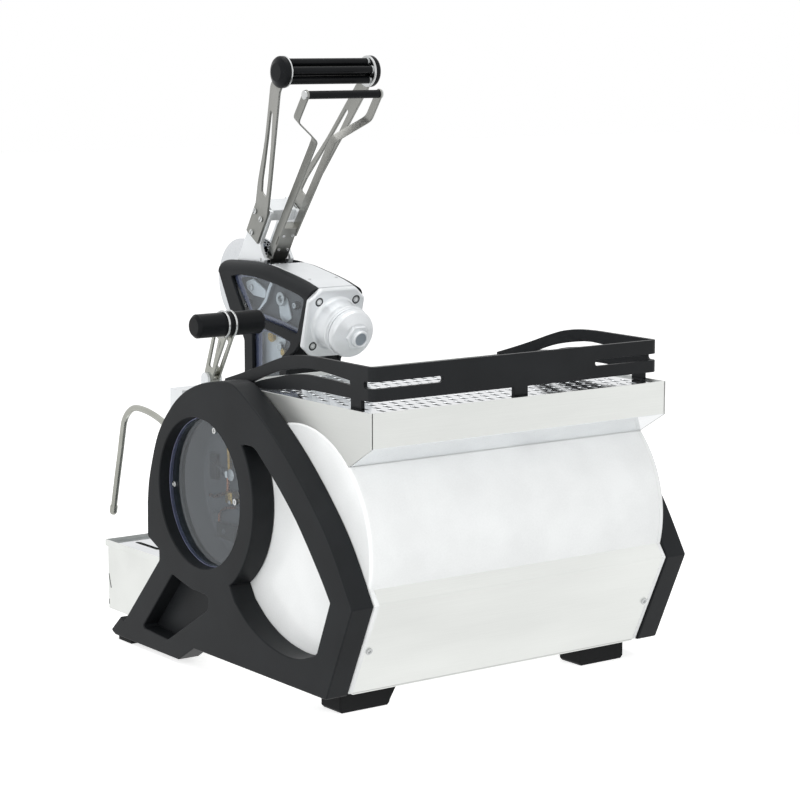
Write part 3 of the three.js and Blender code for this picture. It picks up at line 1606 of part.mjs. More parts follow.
// Drip tray: an open pan, and a rim with a ledge for the grate.
const ledgeFoot = dripGrateZ - dripWall;
const panHalf = dripHalf - dripLip;
const panFront = dripFront + dripLip;
const panRear = dripRear - dripLip;
piece(
  'drip_tray',
  cut(
    block([-panHalf, panFront, dripFootZ], [panHalf, panRear, ledgeFoot - seat]),
    block(
      [dripWall - panHalf, panFront + dripWall, dripFootZ + dripWall],
      [panHalf - dripWall, panRear - dripWall, dripTop],
    ),
  ),
  brushedSteel,
);
piece(
  'drip_tray_rim',
  cut(
    block([-dripHalf, dripFront, ledgeFoot], [dripHalf, dripRear, dripTop]),
    block(
      [dripWall - panHalf, panFront + dripWall, ledgeFoot - overrun],
      [panHalf - dripWall, panRear - dripWall, dripTop + overrun],
    ),
    block(
      [dripWall - dripHalf, dripFront + dripWall, dripGrateZ],
      [dripHalf - dripWall, dripRear - dripWall, dripTop + overrun],
    ),
  ),
  brushedSteel,
);
const dripPlay = dripWall + gratePlay;
const dripPlateFoot = dripGrateZ + seat;
const dripPlateTop = dripPlateFoot + dripGrateThickness;
piece(
  'drip_grate',
  perforated(
    block(
      [dripPlay - dripHalf, dripFront + dripPlay, dripPlateFoot],
      [dripHalf - dripPlay, dripRear - dripPlay, dripPlateTop],
    ),
    dripHalf, dripFront, dripRear, dripPlateFoot, dripPlateTop,
    [dripSlotPitch, dripSlotRowPitch], [dripSlotWidth, dripSlotLength], dripSlotMargin,
  ),
  polishedSteel,
);

machine.position.y = -(filterHandleEnd + frameRear) / 2;
const part = new THREE.Group();
part.add(machine);
export default part;
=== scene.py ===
"""Looks for a one-group lever espresso machine, laid out as an add-on and run as a script."""
import math

import bmesh
import bpy
from mathutils import Matrix, Vector


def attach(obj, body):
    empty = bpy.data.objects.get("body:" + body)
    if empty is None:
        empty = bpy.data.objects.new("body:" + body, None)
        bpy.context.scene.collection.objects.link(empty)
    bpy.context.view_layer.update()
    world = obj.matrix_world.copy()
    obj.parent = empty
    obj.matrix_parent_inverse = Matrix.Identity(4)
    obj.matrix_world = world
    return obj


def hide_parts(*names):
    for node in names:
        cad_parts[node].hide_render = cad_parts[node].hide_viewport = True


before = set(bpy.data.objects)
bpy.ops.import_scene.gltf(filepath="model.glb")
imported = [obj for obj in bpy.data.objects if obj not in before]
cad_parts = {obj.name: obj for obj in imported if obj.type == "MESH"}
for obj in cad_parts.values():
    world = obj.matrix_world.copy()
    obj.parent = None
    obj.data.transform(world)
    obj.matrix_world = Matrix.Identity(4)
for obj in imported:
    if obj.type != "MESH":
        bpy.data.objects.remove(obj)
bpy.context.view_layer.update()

bl_info = {
    "name": "Lever espresso machine",
    "version": (1, 0, 0),
    "blender": (4, 5, 0),
    "location": "3D View > Sidebar > Espresso",
    "description": "Builds the visible pieces of a one-group lever espresso machine on its CAD frame",
    "category": "Object",
}

# Pieces are drawn in millimetres from the datum of the drawings, and then moved to the row frame.
MM = 0.001
TO_ROW = Matrix.Scale(MM, 4) @ Matrix.Translation((0, 113, 0))
MIRROR = Matrix.Scale(-1, 4, (1, 0, 0))
LEVER_LEAN = math.radians(-32.06)
SPRING_DIP = math.radians(-15)
SIDES = (("right", 1), ("left", -1))

# Side frames
FRAME_DEPTH = 631
FRAME_FRONT = 357
FRAME_HEIGHT = 426
FRAME_INNER = 255
FRAME_OUTER = 290
WINDOW = (-101, 259)
WINDOW_RADIUS = 107
RING_RADIUS = 142
GLASS_FACE = 273

# Body shell
BODY_HALF = 246
COVER_OUTER = 254.7
BARREL_AXIS = (105, 222)
BARREL_RADIUS = 161
BARREL_START = -14.5
COVER_EDGE = 4.4
COVER_HOLE = 104
FLOOR = 31.5
FOLD = (273.5, 164)
PANEL_FOOT = 212
FRONT = -224
SHOULDER = 367.4

# Cup tray and rail
TRAY_HALF = 253.8
TRAY_FRONT = -100
TRAY_REAR = 265.8
TRAY_TOP = 414.8
GRATE = (409.8, 411.8)
SKIRT = 367.7
TUCK = (216.5, 338.6)
RAIL_SEAT = 412.1
RAIL_FOOT = 415.1
RAIL_HEIGHT = 58
RAIL_HALF = 246
RAIL_FRONT = -98
RAIL_REAR = 257

# Group, lever and trigger
GROUP = (0, -296.5)
CHEEK_INNER = 44
CHEEK_OUTER = 50
REACH = 383.5
ARM_INNER = 27.3
ARM_TOP = 75.6
TRIGGER = (34, 68)
STEAM_GRIP = (-190, 482)
STEAM_PIN = (-232, 398)
PIVOT = (-406, 516)
SPRING_SEAT = (-183.5, 471.5)
SQUEEZE = (54, 379)
GRIP_HALF = 72.3
WAND_BALL = (226, -268, 317)
LEVER = Matrix.Translation((0, *PIVOT)) @ Matrix.Rotation(LEVER_LEAN, 4, "X")
SPRING = Matrix.Translation((0, *SPRING_SEAT)) @ Matrix.Rotation(SPRING_DIP, 4, "X")

# Front controls and drip tray
GAUGE = (-125, 262)
HOT_WATER = -196
SWITCH = (125, 190)
TRAY_PAN = (247, -440, -235)
TRAY_RIM = (250, -443, -232)

# Camera, fitted to the photograph, with its target in metres in the row frame
VIEW_ROUND = math.radians(143.811)
VIEW_UP = math.radians(8.594)
VIEW_TARGET = (0.013436, 0.113, 0.379122)
VIEW_DISTANCE = 3.42066
VIEW_LENS = 107.8727

# Faces of one piece meet smoothly up to this angle
SHARP = math.radians(35)


def linear(code):
    """Turns an sRGB hex colour into the linear colour that a shader takes."""
    shares = [int(code[i:i + 2], 16) / 255 for i in (1, 3, 5)]
    return [share / 12.92 if share <= 0.04045 else ((share + 0.055) / 1.055) ** 2.4 for share in shares] + [1.0]


def tones(colour, low, high):
    """A colour of the panel made darker and lighter by two shares."""
    return [[min(part * share, 1.0) for part in colour] + [1.0] for share in (low, high)]


# Outlines

def spot(axis, point, height):
    """Places a point drawn across an axis: (Y, Z) for x, (X, Z) for y and (X, Y) for z."""
    a, b = point
    return {"x": (height, a, b), "y": (a, height, b), "z": (a, b, height)}[axis]


def arc(centre, radius, start, end, steps):
    angles = [math.radians(start + (end - start) * i / steps) for i in range(steps + 1)]
    return [(centre[0] + radius * math.cos(a), centre[1] + radius * math.sin(a)) for a in angles]


def circle(centre, radius, steps=48):
    return arc(centre, radius, 0, 360, steps)[1:]


def curve(points, steps):
    """A smooth line through points, with steps between each two."""
    made = []
    ends = [points[0], *points, points[-1]]
    for a, b, c, d in zip(ends, ends[1:], ends[2:], ends[3:]):
        a, b, c, d = (Vector(p) for p in (a, b, c, d))
        for i in range(steps):
            t = i / steps
            made.append(tuple(0.5 * (
                2 * b + (c - a) * t + (2 * a - 5 * b + 4 * c - d) * t ** 2 + (3 * b - a - 3 * c + d) * t ** 3
            )))
    return [*made, tuple(points[-1])]


def rounded(points, radius, closed=True, steps=4):
    """Softens the corners of a line. The radius is one number, or one for each point."""
    made = []
    last = len(points) - 1
    for i, point in enumerate(points):
        here = Vector(point)
        size = radius[i] if isinstance(radius, (list, tuple)) else radius
        back = Vector(points[i - 1]) - here
        ahead = Vector(points[(i + 1) % len(points)]) - here
        if size <= 0 or (not closed and i in (0, last)) or back.length < 1e-6 or ahead.length < 1e-6:
            made.append(tuple(here))
            continue
        half = back.angle(ahead) / 2
        if half > math.radians(88):
            made.append(tuple(here))
            continue
        reach = min(size / math.tan(half), back.length * 0.48, ahead.length * 0.48)
        start = here + back.normalized() * reach
        end = here + ahead.normalized() * reach
        for k in range(steps + 1):
            t = k / steps
            made.append(tuple(start * (1 - t) ** 2 + here * 2 * t * (1 - t) + end * t ** 2))
    return made


def oblong(low, high, radius=0.0, **how):
    """A rectangle between two corners, rounded as rounded() does it."""
    return rounded([low, (high[0], low[1]), high, (low[0], high[1])], radius, **how)


def slots(rows, columns, pitch, row_pitch, first, half, radius, steps):
    """Slots along Y in staggered rows, the first row at a place along Y."""
    made = []
    for row in range(rows):
        count = columns - row % 2
        for column in range(count):
            x = (column - (count - 1) / 2) * pitch
            y = first + row * row_pitch
            made.append([
                *arc((x, y - half), radius, 180, 360, steps), *arc((x, y + half), radius, 0, 180, steps),
            ])
    return made


def around(centre, radius, count, share=0.0):
    """Places at even steps round a circle, turned on by a share of a step."""
    angles = [math.tau * (i + share) / count for i in range(count)]
    return [(centre[0] + radius * math.cos(a), centre[1] + radius * math.sin(a)) for a in angles]


def shares(table, start, size):
    """Turns shares of a piece's depth and height into places."""
    return [(start[0] + a * size[0], start[1] + b * size[1]) for a, b in table]


def offset(path, distance):
    """The same open line moved sideways to its left."""
    made = []
    for i, point in enumerate(path):
        ends = [path[max(i - 1, 0)], point, path[min(i + 1, len(path) - 1)]]
        normals = []
        for a, b in zip(ends, ends[1:]):
            along = Vector(b) - Vector(a)
            if along.length > 1e-9:
                normals.append(Vector((-along.y, along.x)).normalized())
        total = sum(normals, Vector((0, 0)))
        made.append(tuple(Vector(point) + total * (distance * len(normals) / total.length_squared)))
    return made


# Solids

def loop(mesh, axis, points, height):
    corners = [mesh.verts.new(spot(axis, point, height)) for point in points]
    return corners, [mesh.edges.new((corners[i - 1], corner)) for i, corner in enumerate(corners)]


def faces_of(parts):
    return [part for part in parts if isinstance(part, bmesh.types.BMFace)]


def verts_of(parts):
    return [part for part in parts if isinstance(part, bmesh.types.BMVert)]


def push(mesh, faces, vector, keep=False):
    """Extrudes faces and moves them. Where they are kept, they stay behind as the other end of the solid."""
    parts = [*faces]
    if not keep:
        parts += {edge for face in faces for edge in face.edges}
        parts += {corner for face in faces for corner in face.verts}
    made = bmesh.ops.extrude_face_region(mesh, geom=parts)["geom"]
    bmesh.ops.translate(mesh, vec=vector, verts=verts_of(made))
    return faces_of(made)


def soften(mesh, faces, edge, steps, depth=None):
    """Rounds the rim of flat faces, as deep as it is wide where no depth is given."""
    depth = edge if depth is None else depth
    turns = [math.pi / 2 * i / steps for i in range(steps + 1)]
    for here, there in zip(turns, turns[1:]):
        bmesh.ops.inset_region(
            mesh,
            faces=faces,
            thickness=edge * (math.cos(here) - math.cos(there)),
            depth=depth * (math.sin(there) - math.sin(here)),
            use_even_offset=True,
            use_boundary=True,
        )


def plate(axis, outline, low, high, edge=0.0, holes=(), steps=3, pocket=None, depth=0.0):
    """A plate cut from an outline, thick along an axis, with rounded rims and perhaps a pocket from its high side."""
    mesh = bmesh.new()
    edges = []
    for points in (outline, *holes):
        edges += loop(mesh, axis, points, low + edge)[1]
    rim = []
    if pocket:
        rim, sides = loop(mesh, axis, pocket, low + edge)
        edges += sides
    faces = faces_of(bmesh.ops.triangle_fill(mesh, use_beauty=True, edges=edges)["geom"])
    floor = mesh.faces.new(rim) if pocket else None
    rise = Vector(spot(axis, (0, 0), high - low - 2 * edge))
    body = [*faces, floor] if pocket else faces
    top = push(mesh, body, rise, keep=True)
    bmesh.ops.recalc_face_normals(mesh, faces=mesh.faces)
    sunk = [face for face in top if pocket and len(face.verts) == len(pocket)]
    caps = [face for face in top if face not in sunk]
    if edge > 0:
        soften(mesh, caps + body, edge, steps)
    if sunk:
        push(mesh, sunk, -rise.normalized() * (depth - edge))
    return mesh


def turn_to(axis):
    """The turn that brings Z to an axis."""
    word, angle = {"x": ("Y", math.pi / 2), "y": ("X", -math.pi / 2), "z": ("Z", 0)}[axis]
    return Matrix.Rotation(angle, 4, word)


def turned(axis, profile, across=(0, 0), steps=48):
    """A form spun about an axis from pairs of radius and distance along it."""
    mesh = bmesh.new()
    corners = [mesh.verts.new((radius, 0, distance)) for radius, distance in profile]
    edges = [mesh.edges.new(pair) for pair in zip(corners, corners[1:])]
    if profile[0][0] > 0:
        edges.append(mesh.edges.new((corners[-1], corners[0])))
    bmesh.ops.spin(
        mesh, geom=corners + edges, cent=(0, 0, 0), axis=(0, 0, 1), angle=math.tau, steps=steps, use_merge=True
    )
    bmesh.ops.remove_doubles(mesh, verts=mesh.verts, dist=1e-4)
    bmesh.ops.transform(mesh, matrix=turn_to(axis), verts=mesh.verts)
    bmesh.ops.translate(mesh, vec=spot(axis, across, 0), verts=mesh.verts)
    bmesh.ops.recalc_face_normals(mesh, faces=mesh.faces)
    return mesh


def rod(axis, radius, low, high, across=(0, 0), edge=0.4, steps=32):
    """A round bar with softened ends."""
    return turned(axis, oblong((0, low), (radius, high), edge, closed=False, steps=3), across, steps)


def hexagon(axis, radius, low, high, across):
    """A six-sided bar with sharp edges."""
    return turned(axis, [(0, low), (radius, low), (radius, high), (0, high)], across, 6)


def brick(low, high, edge=0.5, segments=2):
    """A block between two corners, with rounded edges."""
    mesh = bmesh.new()
    bmesh.ops.create_cube(mesh, size=1)
    size = [b - a for a, b in zip(low, high)]
    middle = [(a + b) / 2 for a, b in zip(low, high)]
    bmesh.ops.scale(mesh, vec=size, verts=mesh.verts)
    bmesh.ops.translate(mesh, vec=middle, verts=mesh.verts)
    bmesh.ops.bevel(
        mesh, geom=mesh.edges[:], offset=edge, offset_type="OFFSET", segments=segments, profile=0.5,
        affect="EDGES", material=-1,
    )
    return mesh


def swept(path, radius, sides=20):
    """A round tube along a line of points."""
    mesh = bmesh.new()
    points = [Vector(point) for point in path]
    ahead = (points[1] - points[0]).normalized()
    turn = Vector((0, 0, 1)).rotation_difference(ahead).to_matrix().to_4x4()
    bmesh.ops.create_circle(
        mesh, cap_ends=True, radius=radius, segments=sides, matrix=Matrix.Translation(points[0]) @ turn
    )
    cap = mesh.faces[:]
    for i in range(1, len(points)):
        before = points[i] - points[i - 1]
        after = points[min(i + 1, len(points) - 1)] - points[i]
        heading = (before.normalized() + after.normalized()).normalized() if after.length else before.normalized()
        cap = push(mesh, cap, before, keep=i == 1)
        bend = ahead.rotation_difference(heading).to_matrix()
        bmesh.ops.rotate(mesh, cent=points[i], matrix=bend, verts=cap[0].verts)
        ahead = heading
    bmesh.ops.recalc_face_normals(mesh, faces=mesh.faces)
    return mesh


def sheet(axis, path, thickness, low, high, edge):
    """A bent sheet: a line across an axis and its thickness to the left of it."""
    outline = [*path, *reversed(offset(path, thickness))]
    return plate(axis, outline, low, high, edge=edge, steps=2)


def joined(*parts):
    """Puts solids in one, each with the number of its material: (solid, number) or a solid for number 0."""
    whole = bmesh.new()
    for part in parts:
        mesh, number = part if isinstance(part, tuple) else (part, 0)
        for face in mesh.faces:
            face.material_index = number
        data = bpy.data.meshes.new("part")
        mesh.to_mesh(data)
        mesh.free()
        whole.from_mesh(data)
        bpy.data.meshes.remove(data)
    return whole


def moved(mesh, matrix):
    bmesh.ops.transform(mesh, matrix=matrix, verts=mesh.verts)
    return mesh


def facing(mesh, axis, place):
    """Turns a form drawn along Z to point along an axis, and puts it at a place."""
    return moved(mesh, Matrix.Translation(place) @ turn_to(axis))


def bend_along(mesh, across, along, path):
    """Moves a flat bar sideways so that it follows a line of (along, across) places."""
    for start, end in zip(path, path[1:]):
        for i in range(1, 3):
            cut = start[0] + (end[0] - start[0]) * i / 2
            normal = Vector((0, 0, 0))
            normal[along] = 1
            bmesh.ops.bisect_plane(
                mesh, geom=[*mesh.verts, *mesh.edges, *mesh.faces], plane_co=normal * cut, plane_no=normal, dist=0.001
            )
    for corner in mesh.verts:
        u = corner.co[along]
        for start, end in zip(path, path[1:]):
            if u <= end[0] or end is path[-1]:
                t = (u - start[0]) / (end[0] - start[0])
                corner.co[across] += start[1] + (end[1] - start[1]) * t
                break
    return mesh


def screw(radius, height, slotted=False):
    """A round screw head along Z with a hexagon socket or a slot."""
    width = radius * (0.16 if slotted else 0.5)
    if slotted:
        long = radius * 0.88
        socket = oblong((-long, -width), (long, width))
    else:
        socket = circle((0, 0), width, 6)
    return plate(
        "z", circle((0, 0), radius, 24), 0, height, edge=height * 0.3, pocket=socket, depth=height * 0.6
    )


# Materials

MATERIALS = {}

# Slot names by a piece's first material, unless its call names another; finish() looks them up but does nothing more
# with them
SLOTS = {
    "casting": "cast_black", "black_sheet": "cast_black", "enamel": "enamel_white", "brushed": "brushed_steel",
    "polished": "polished_steel", "satin": "polished_steel", "drawn": "polished_steel", "ground": "cast_silver",
    "cast_silver": "cast_silver", "grip": "grip_black", "rubber": "rubber_black", "dark": "dark_plate",
    "lining": "dark_plate", "acrylic_edge": "clear_pane", "pane": "clear_pane", "copper": "copper",
}


def add_node(tree, kind, values=None, links=None, **settings):
    """Adds a shader node with its settings, its values and what is linked into it."""
    made = tree.nodes.new(kind)
    for name, value in settings.items():
        setattr(made, name, value)
    for name, value in (values or {}).items():
        made.inputs[name].default_value = value
    for name, source in (links or {}).items():
        tree.links.new(source, made.inputs[name])
    return made


def bare(made):
    """Turns on the nodes of a material or world, without those that it starts with."""
    made.use_nodes = True
    made.node_tree.nodes.clear()
    return made.node_tree


def rays(tree, path, *kinds):
    """One for rays of the named kinds and nought for others."""
    seen, *others = [path.outputs[f"Is {kind} Ray"] for kind in kinds]
    for other in others:
        seen = add_node(tree, "ShaderNodeMath", links={0: seen, 1: other}, operation="MAXIMUM").outputs[0]
    return seen


def finish_of(
    word, name, dark, light, gloss, cell, relief=0.0, stretch=(1, 1, 1), turn=0.0, drift=70.0, **sockets
):
    """Keeps under a word a surface whose colour drifts over a broad pattern, with gloss and relief from a fine one.

    Cell is the size of the fine pattern in millimetres and stretch draws it out along X, Y and Z.
    """
    made = bpy.data.materials.new(name)
    tree = bare(made)
    place = add_node(tree, "ShaderNodeTexCoord").outputs["Object"]
    patterns = []
    for size, longest, detail, roughness in ((cell, max(stretch), 3.0, 0.6), (drift, 4, 2.0, 0.5)):
        spread = add_node(
            tree, "ShaderNodeMapping",
            {"Scale": [size * MM * min(s, longest) for s in stretch], "Rotation": (turn, 0, 0)},
            {"Vector": place}, vector_type="TEXTURE",
        )
        patterns.append(add_node(
            tree, "ShaderNodeTexNoise", {"Scale": 1.0, "Detail": detail, "Roughness": roughness},
            {"Vector": spread.outputs[0]},
        ))
    fine, broad = patterns
    both = add_node(
        tree, "ShaderNodeMath", {1: 0.5}, {0: fine.outputs["Fac"], 2: broad.outputs["Fac"]},
        operation="MULTIPLY_ADD",
    )
    ramp = add_node(tree, "ShaderNodeValToRGB", links={"Fac": both.outputs[0]})
    ramp.color_ramp.elements[0].position = 0.55
    ramp.color_ramp.elements[0].color = linear(dark) if isinstance(dark, str) else dark
    ramp.color_ramp.elements[1].position = 0.95
    ramp.color_ramp.elements[1].color = linear(light) if isinstance(light, str) else light
    rough = add_node(
        tree, "ShaderNodeMapRange",
        {"From Min": 0.3, "From Max": 0.7, "To Min": gloss[0], "To Max": gloss[1]},
        {"Value": fine.outputs["Fac"]},
    )
    shader = add_node(
        tree, "ShaderNodeBsdfPrincipled", sockets,
        {"Base Color": ramp.outputs["Color"], "Roughness": rough.outputs[0]},
    )
    if relief:
        bump = add_node(
            tree, "ShaderNodeBump", {"Strength": relief, "Distance": cell * MM * 0.25}, {"Height": fine.outputs["Fac"]}
        )
        tree.links.new(bump.outputs[0], shader.inputs["Normal"])
    add_node(tree, "ShaderNodeOutputMaterial", links={"Surface": shader.outputs[0]})
    MATERIALS[word] = made


def clear_pane(name, tint, veil):
    """Clear acrylic: what is behind it shows through, under a reflection that grows at a glancing look."""
    made = bpy.data.materials.new(name)
    tree = bare(made)
    place = add_node(tree, "ShaderNodeTexCoord").outputs["Object"]
    haze = add_node(tree, "ShaderNodeTexNoise", {"Scale": 9.0, "Detail": 1.0}, {"Vector": place})
    rough = add_node(tree, "ShaderNodeMapRange", {"To Min": 0.01, "To Max": 0.05}, {"Value": haze.outputs["Fac"]})
    glance = add_node(tree, "ShaderNodeLayerWeight", {"Blend": 0.5})
    steep = add_node(tree, "ShaderNodeMath", {1: 4.0}, {0: glance.outputs["Facing"]}, operation="POWER")
    share = add_node(tree, "ShaderNodeMapRange", {"To Min": veil, "To Max": 0.9}, {"Value": steep.outputs[0]})
    through = add_node(tree, "ShaderNodeBsdfTransparent", {"Color": linear(tint)})
    shine = add_node(tree, "ShaderNodeBsdfGlossy", {"Color": linear("#f4f7fa")}, {"Roughness": rough.outputs[0]})
    mix = add_node(
        tree, "ShaderNodeMixShader", links={0: share.outputs[0], 1: through.outputs[0], 2: shine.outputs[0]}
    )
    add_node(tree, "ShaderNodeOutputMaterial", links={"Surface": mix.outputs[0]})
    return made


def make_materials():
    """Makes each finish once, in the colours of the panel."""
    looks = bpy.context.scene.machine_looks
    coat, white = looks.casting_colour, looks.enamel_colour
    steel, silver = looks.sheet_colour, looks.silver_colour
    # Powder-coated cast aluminium: satin black with a faint orange peel that breaks up its highlights.
    finish_of(
        "casting", "powder coated casting", *tones(coat, 0.84, 1.18), (0.42, 0.5), 1.4, 0.06,
        **{"Specular IOR Level": 0.16},
    )
    # The same coat on cut sheet: a little smoother, as there is no casting skin under it.
    finish_of(
        "black_sheet", "powder coated sheet", *tones(coat, 0.8, 1.12), (0.36, 0.44), 1.2, 0.04,
        **{"Specular IOR Level": 0.18},
    )
    # Stove enamel on sheet: clean white with an even gloss and hardly any relief.
    finish_of(
        "enamel", "white stove enamel", *tones(white, 0.955, 1.03), (0.2, 0.27), 2.5, 0.03, IOR=1.5,
        **{"Coat Weight": 0.3, "Coat Roughness": 0.08},
    )
    # Brushed stainless sheet, grain along X: drawn at 1.1 mm because real grit lines are too fine to show.
    finish_of(
        "brushed", "brushed stainless sheet", *tones(steel, 0.96, 1.04), (0.3, 0.42), 1.1, 0.02, (60, 1, 1),
        Metallic=1.0,
    )
    # The same sheet with its grain along Y for end faces, in darker tones that are painted shade on those faces.
    finish_of(
        "shaded_brushed_end", "brushed stainless end sheet shaded darker", *tones(steel, 0.88, 0.95), (0.36, 0.46), 1.1, 0.01,
        (1, 60, 1), Metallic=0.9,
    )
    # Mirror-polished stainless: nearly no relief, a faint cool tint.
    finish_of("polished", "mirror polished stainless", "#d3d6d9", "#dfe1e4", (0.05, 0.1), 4.0, 0.0, Metallic=1.0)
    # The tray's slanted skirt: the same mirror finish in a paler tone. The extra brightness is a painted reflection of
    # the white body under it.
    finish_of("brightened_mirror_skirt", "mirror polished skirt painted brighter", "#eceef0", "#f4f6f7", (0.06, 0.12), 4.0, 0.0, Metallic=1.0)
    # Satin stainless of screws and collars.
    finish_of("satin", "satin stainless", "#c4c6c6", "#d6d8d8", (0.18, 0.28), 0.9, 0.03, Metallic=1.0)
    # Bead-blasted and lacquered cast aluminium: a soft pale silver with a fine grit.
    finish_of(
        "cast_silver", "bead blasted aluminium", *tones(silver, 0.95, 1.045), (0.3, 0.4), 0.9, 0.04, Metallic=0.5,
    )
    # Ground steel of the lever arms and the trigger, grain along them: warmer and greyer than the sheet.
    finish_of(
        "ground", "ground steel bar", "#8f908c", "#a3a39f", (0.3, 0.42), 0.8, 0.07, (1, 1, 40), LEVER_LEAN,
        Metallic=1.0,
    )
    # Drawn steel of the wand and of the steam lever's strips: a satin grey that still shows what is around it.
    finish_of("drawn", "drawn steel", "#a0a19a", "#b4b5ae", (0.16, 0.26), 0.9, 0.02, Metallic=1.0)
    # Machined aluminium inside the spring cap's eye, a cold grey with light tool marks.
    finish_of(
        "machined", "machined aluminium", "#8e969d", "#aab1b7", (0.32, 0.42), 0.8, 0.05, (1, 1, 12), LEVER_LEAN,
        Metallic=0.9,
    )
    # Moulded phenolic of the grips: deep black with a soft sheen.
    finish_of(
        "grip", "moulded phenolic", "#0d0e10", "#141618", (0.3, 0.38), 1.0, 0.04, **{"Specular IOR Level": 0.12},
    )
    # Rubber of feet, gaskets and seams: dull and slightly grainy.
    finish_of(
        "rubber", "black rubber", "#101112", "#161718", (0.62, 0.75), 0.9, 0.15, **{"Specular IOR Level": 0.2},
    )
    # Dark paint inside the round windows.
    finish_of(
        "dark", "dark grey paint", "#383c40", "#474b4e", (0.5, 0.6), 30.0, 0.0, drift=120,
        **{"Specular IOR Level": 0.2},
    )
    # The lighter grey lining inside the group.
    finish_of("lining", "grey lining", "#4a4d50", "#5a5d60", (0.4, 0.5), 2.0, 0.03, Metallic=0.3)
    # Sawn and polished rims of the clear panes, which gather light and look blue.
    finish_of("acrylic_edge", "polished acrylic edge", "#5d6078", "#72758c", (0.12, 0.2), 2.0, 0.0, drift=30)
    # Bent copper pipe and turned brass, warm against the dark cup, both with a light tarnish.
    finish_of("copper", "copper pipe", "#8f5a3c", "#c28463", (0.2, 0.36), 3.0, 0.02, drift=18, Metallic=1.0)
    finish_of("brass", "turned brass", "#a58442", "#c9a961", (0.2, 0.32), 2.0, 0.02, drift=18, Metallic=1.0)
    # Phosphated spring steel: a dark, nearly black grey with dull highlights.
    finish_of("spring", "phosphated spring steel", "#2c2e30", "#3d4043", (0.35, 0.5), 0.8, 0.1, Metallic=0.6)
    # Printed dial and its ink: an even matt ivory with nearly black marks.
    finish_of("dial", "printed dial", "#e9e9e2", "#f2f2ec", (0.35, 0.42), 2.0, 0.0)
    finish_of("ink", "printed ink", "#151515", "#1d1d1d", (0.4, 0.5), 2.0, 0.0)
    # Clear acrylic: hardly to be seen from in front and a mirror at a glancing look.
    MATERIALS["pane"] = clear_pane("clear acrylic", "#eef1f3", 0.03)


def finish(mesh, name, body, *words, replaces=(), slot=None, place=None):
    """Turns a solid in drawing millimetres into a finished piece in the row frame on a CAD body."""
    bmesh.ops.remove_doubles(mesh, verts=mesh.verts, dist=0.002)
    bmesh.ops.recalc_face_normals(mesh, faces=mesh.faces)
    if place is not None:
        moved(mesh, place)
    moved(mesh, TO_ROW)
    data = bpy.data.meshes.new(name)
    mesh.to_mesh(data)
    mesh.free()
    data.polygons.foreach_set("use_smooth", [True] * len(data.polygons))
    data.set_sharp_from_angle(angle=SHARP)
    for word in words:
        data.materials.append(MATERIALS[word])
    made = bpy.data.objects.new(name, data)
    bpy.context.scene.collection.objects.link(made)
    weights = made.modifiers.new("normals", "WEIGHTED_NORMAL")
    weights.keep_sharp = True
    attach(made, body)
    if replaces:
        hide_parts(*replaces)
    slot = slot or SLOTS[words[0]]


def mirrored(mesh):
    """The same solid on the other side."""
    moved(mesh, MIRROR)
    bmesh.ops.reverse_faces(mesh, faces=mesh.faces)
    return mesh


def finish_pair(build, name, body, *words, replaces=(), slot=None, place=None):
    """Makes a piece and its mirror image on the other side."""
    for word, side in SIDES:
        mesh = build() if side > 0 else mirrored(build())
        nodes = [f"{node}_{word}" for node in replaces]
        finish(mesh, f"{name}_{word}", body, *words, replaces=nodes, slot=slot, place=place)


def dress(word, *nodes):
    """Gives CAD nodes that stay shown their material."""
    for node in nodes:
        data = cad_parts[node].data
        for i in range(len(data.materials)):
            data.materials[i] = MATERIALS[word]
        data.polygons.foreach_set("use_smooth", [False] * len(data.polygons))


# Side frames

def frame_spots(table):
    return shares(table, (-FRAME_FRONT, 0), (FRAME_DEPTH, FRAME_HEIGHT))


FRAME_FRONT_CURVE = (
    (0.1807, 0.5282), (0.1886, 0.6056), (0.2076, 0.6925), (0.2282, 0.7629), (0.2536, 0.8169), (0.2853, 0.8662),
    (0.3201, 0.9085), (0.3597, 0.9425), (0.412, 0.9718), (0.4707, 0.9906), (0.5277, 1.0),
)
FRAME_CROWN = ((0.5277, 1.0), (0.5563, 0.9941), (0.5832, 0.9765))
FRAME_BACK_CURVE = (
    (0.5832, 0.9765), (0.6624, 0.9085), (0.7528, 0.8122), (0.8415, 0.6948), (0.9223, 0.5634), (1.0, 0.385),
)
FRAME_FOOT = ((0.9041, 0.0742), (0.3756, 0.0742), (0.309, 0.0157), (0.019, 0.0157), (0.0, 0.0282),
              (0.0475, 0.0892), (0.0634, 0.0775), (0.2298, 0.338), (0.2298, 0.3756), (0.1791, 0.4085))
OPENING_SLOPE = (
    (0.5983, 0.8089), (0.6284, 0.808), (0.645, 0.7981), (0.7116, 0.7207), (0.794, 0.6103), (0.8732, 0.4742),
    (0.9187, 0.3847),
)
OPENING_BOWL = (
    (0.87, 0.2131), (0.8605, 0.2019), (0.8067, 0.1746), (0.748, 0.1683), (0.6729, 0.1871), (0.6038, 0.23),
    (0.5523, 0.2864),
)
POCKET = (
    (0.2876, 0.304), (0.3225, 0.2911), (0.3661, 0.277), (0.4255, 0.2739), (0.4422, 0.2664), (0.439, 0.2254),
    (0.2631, 0.0718), (0.1585, 0.0805), (0.1537, 0.0892),
)


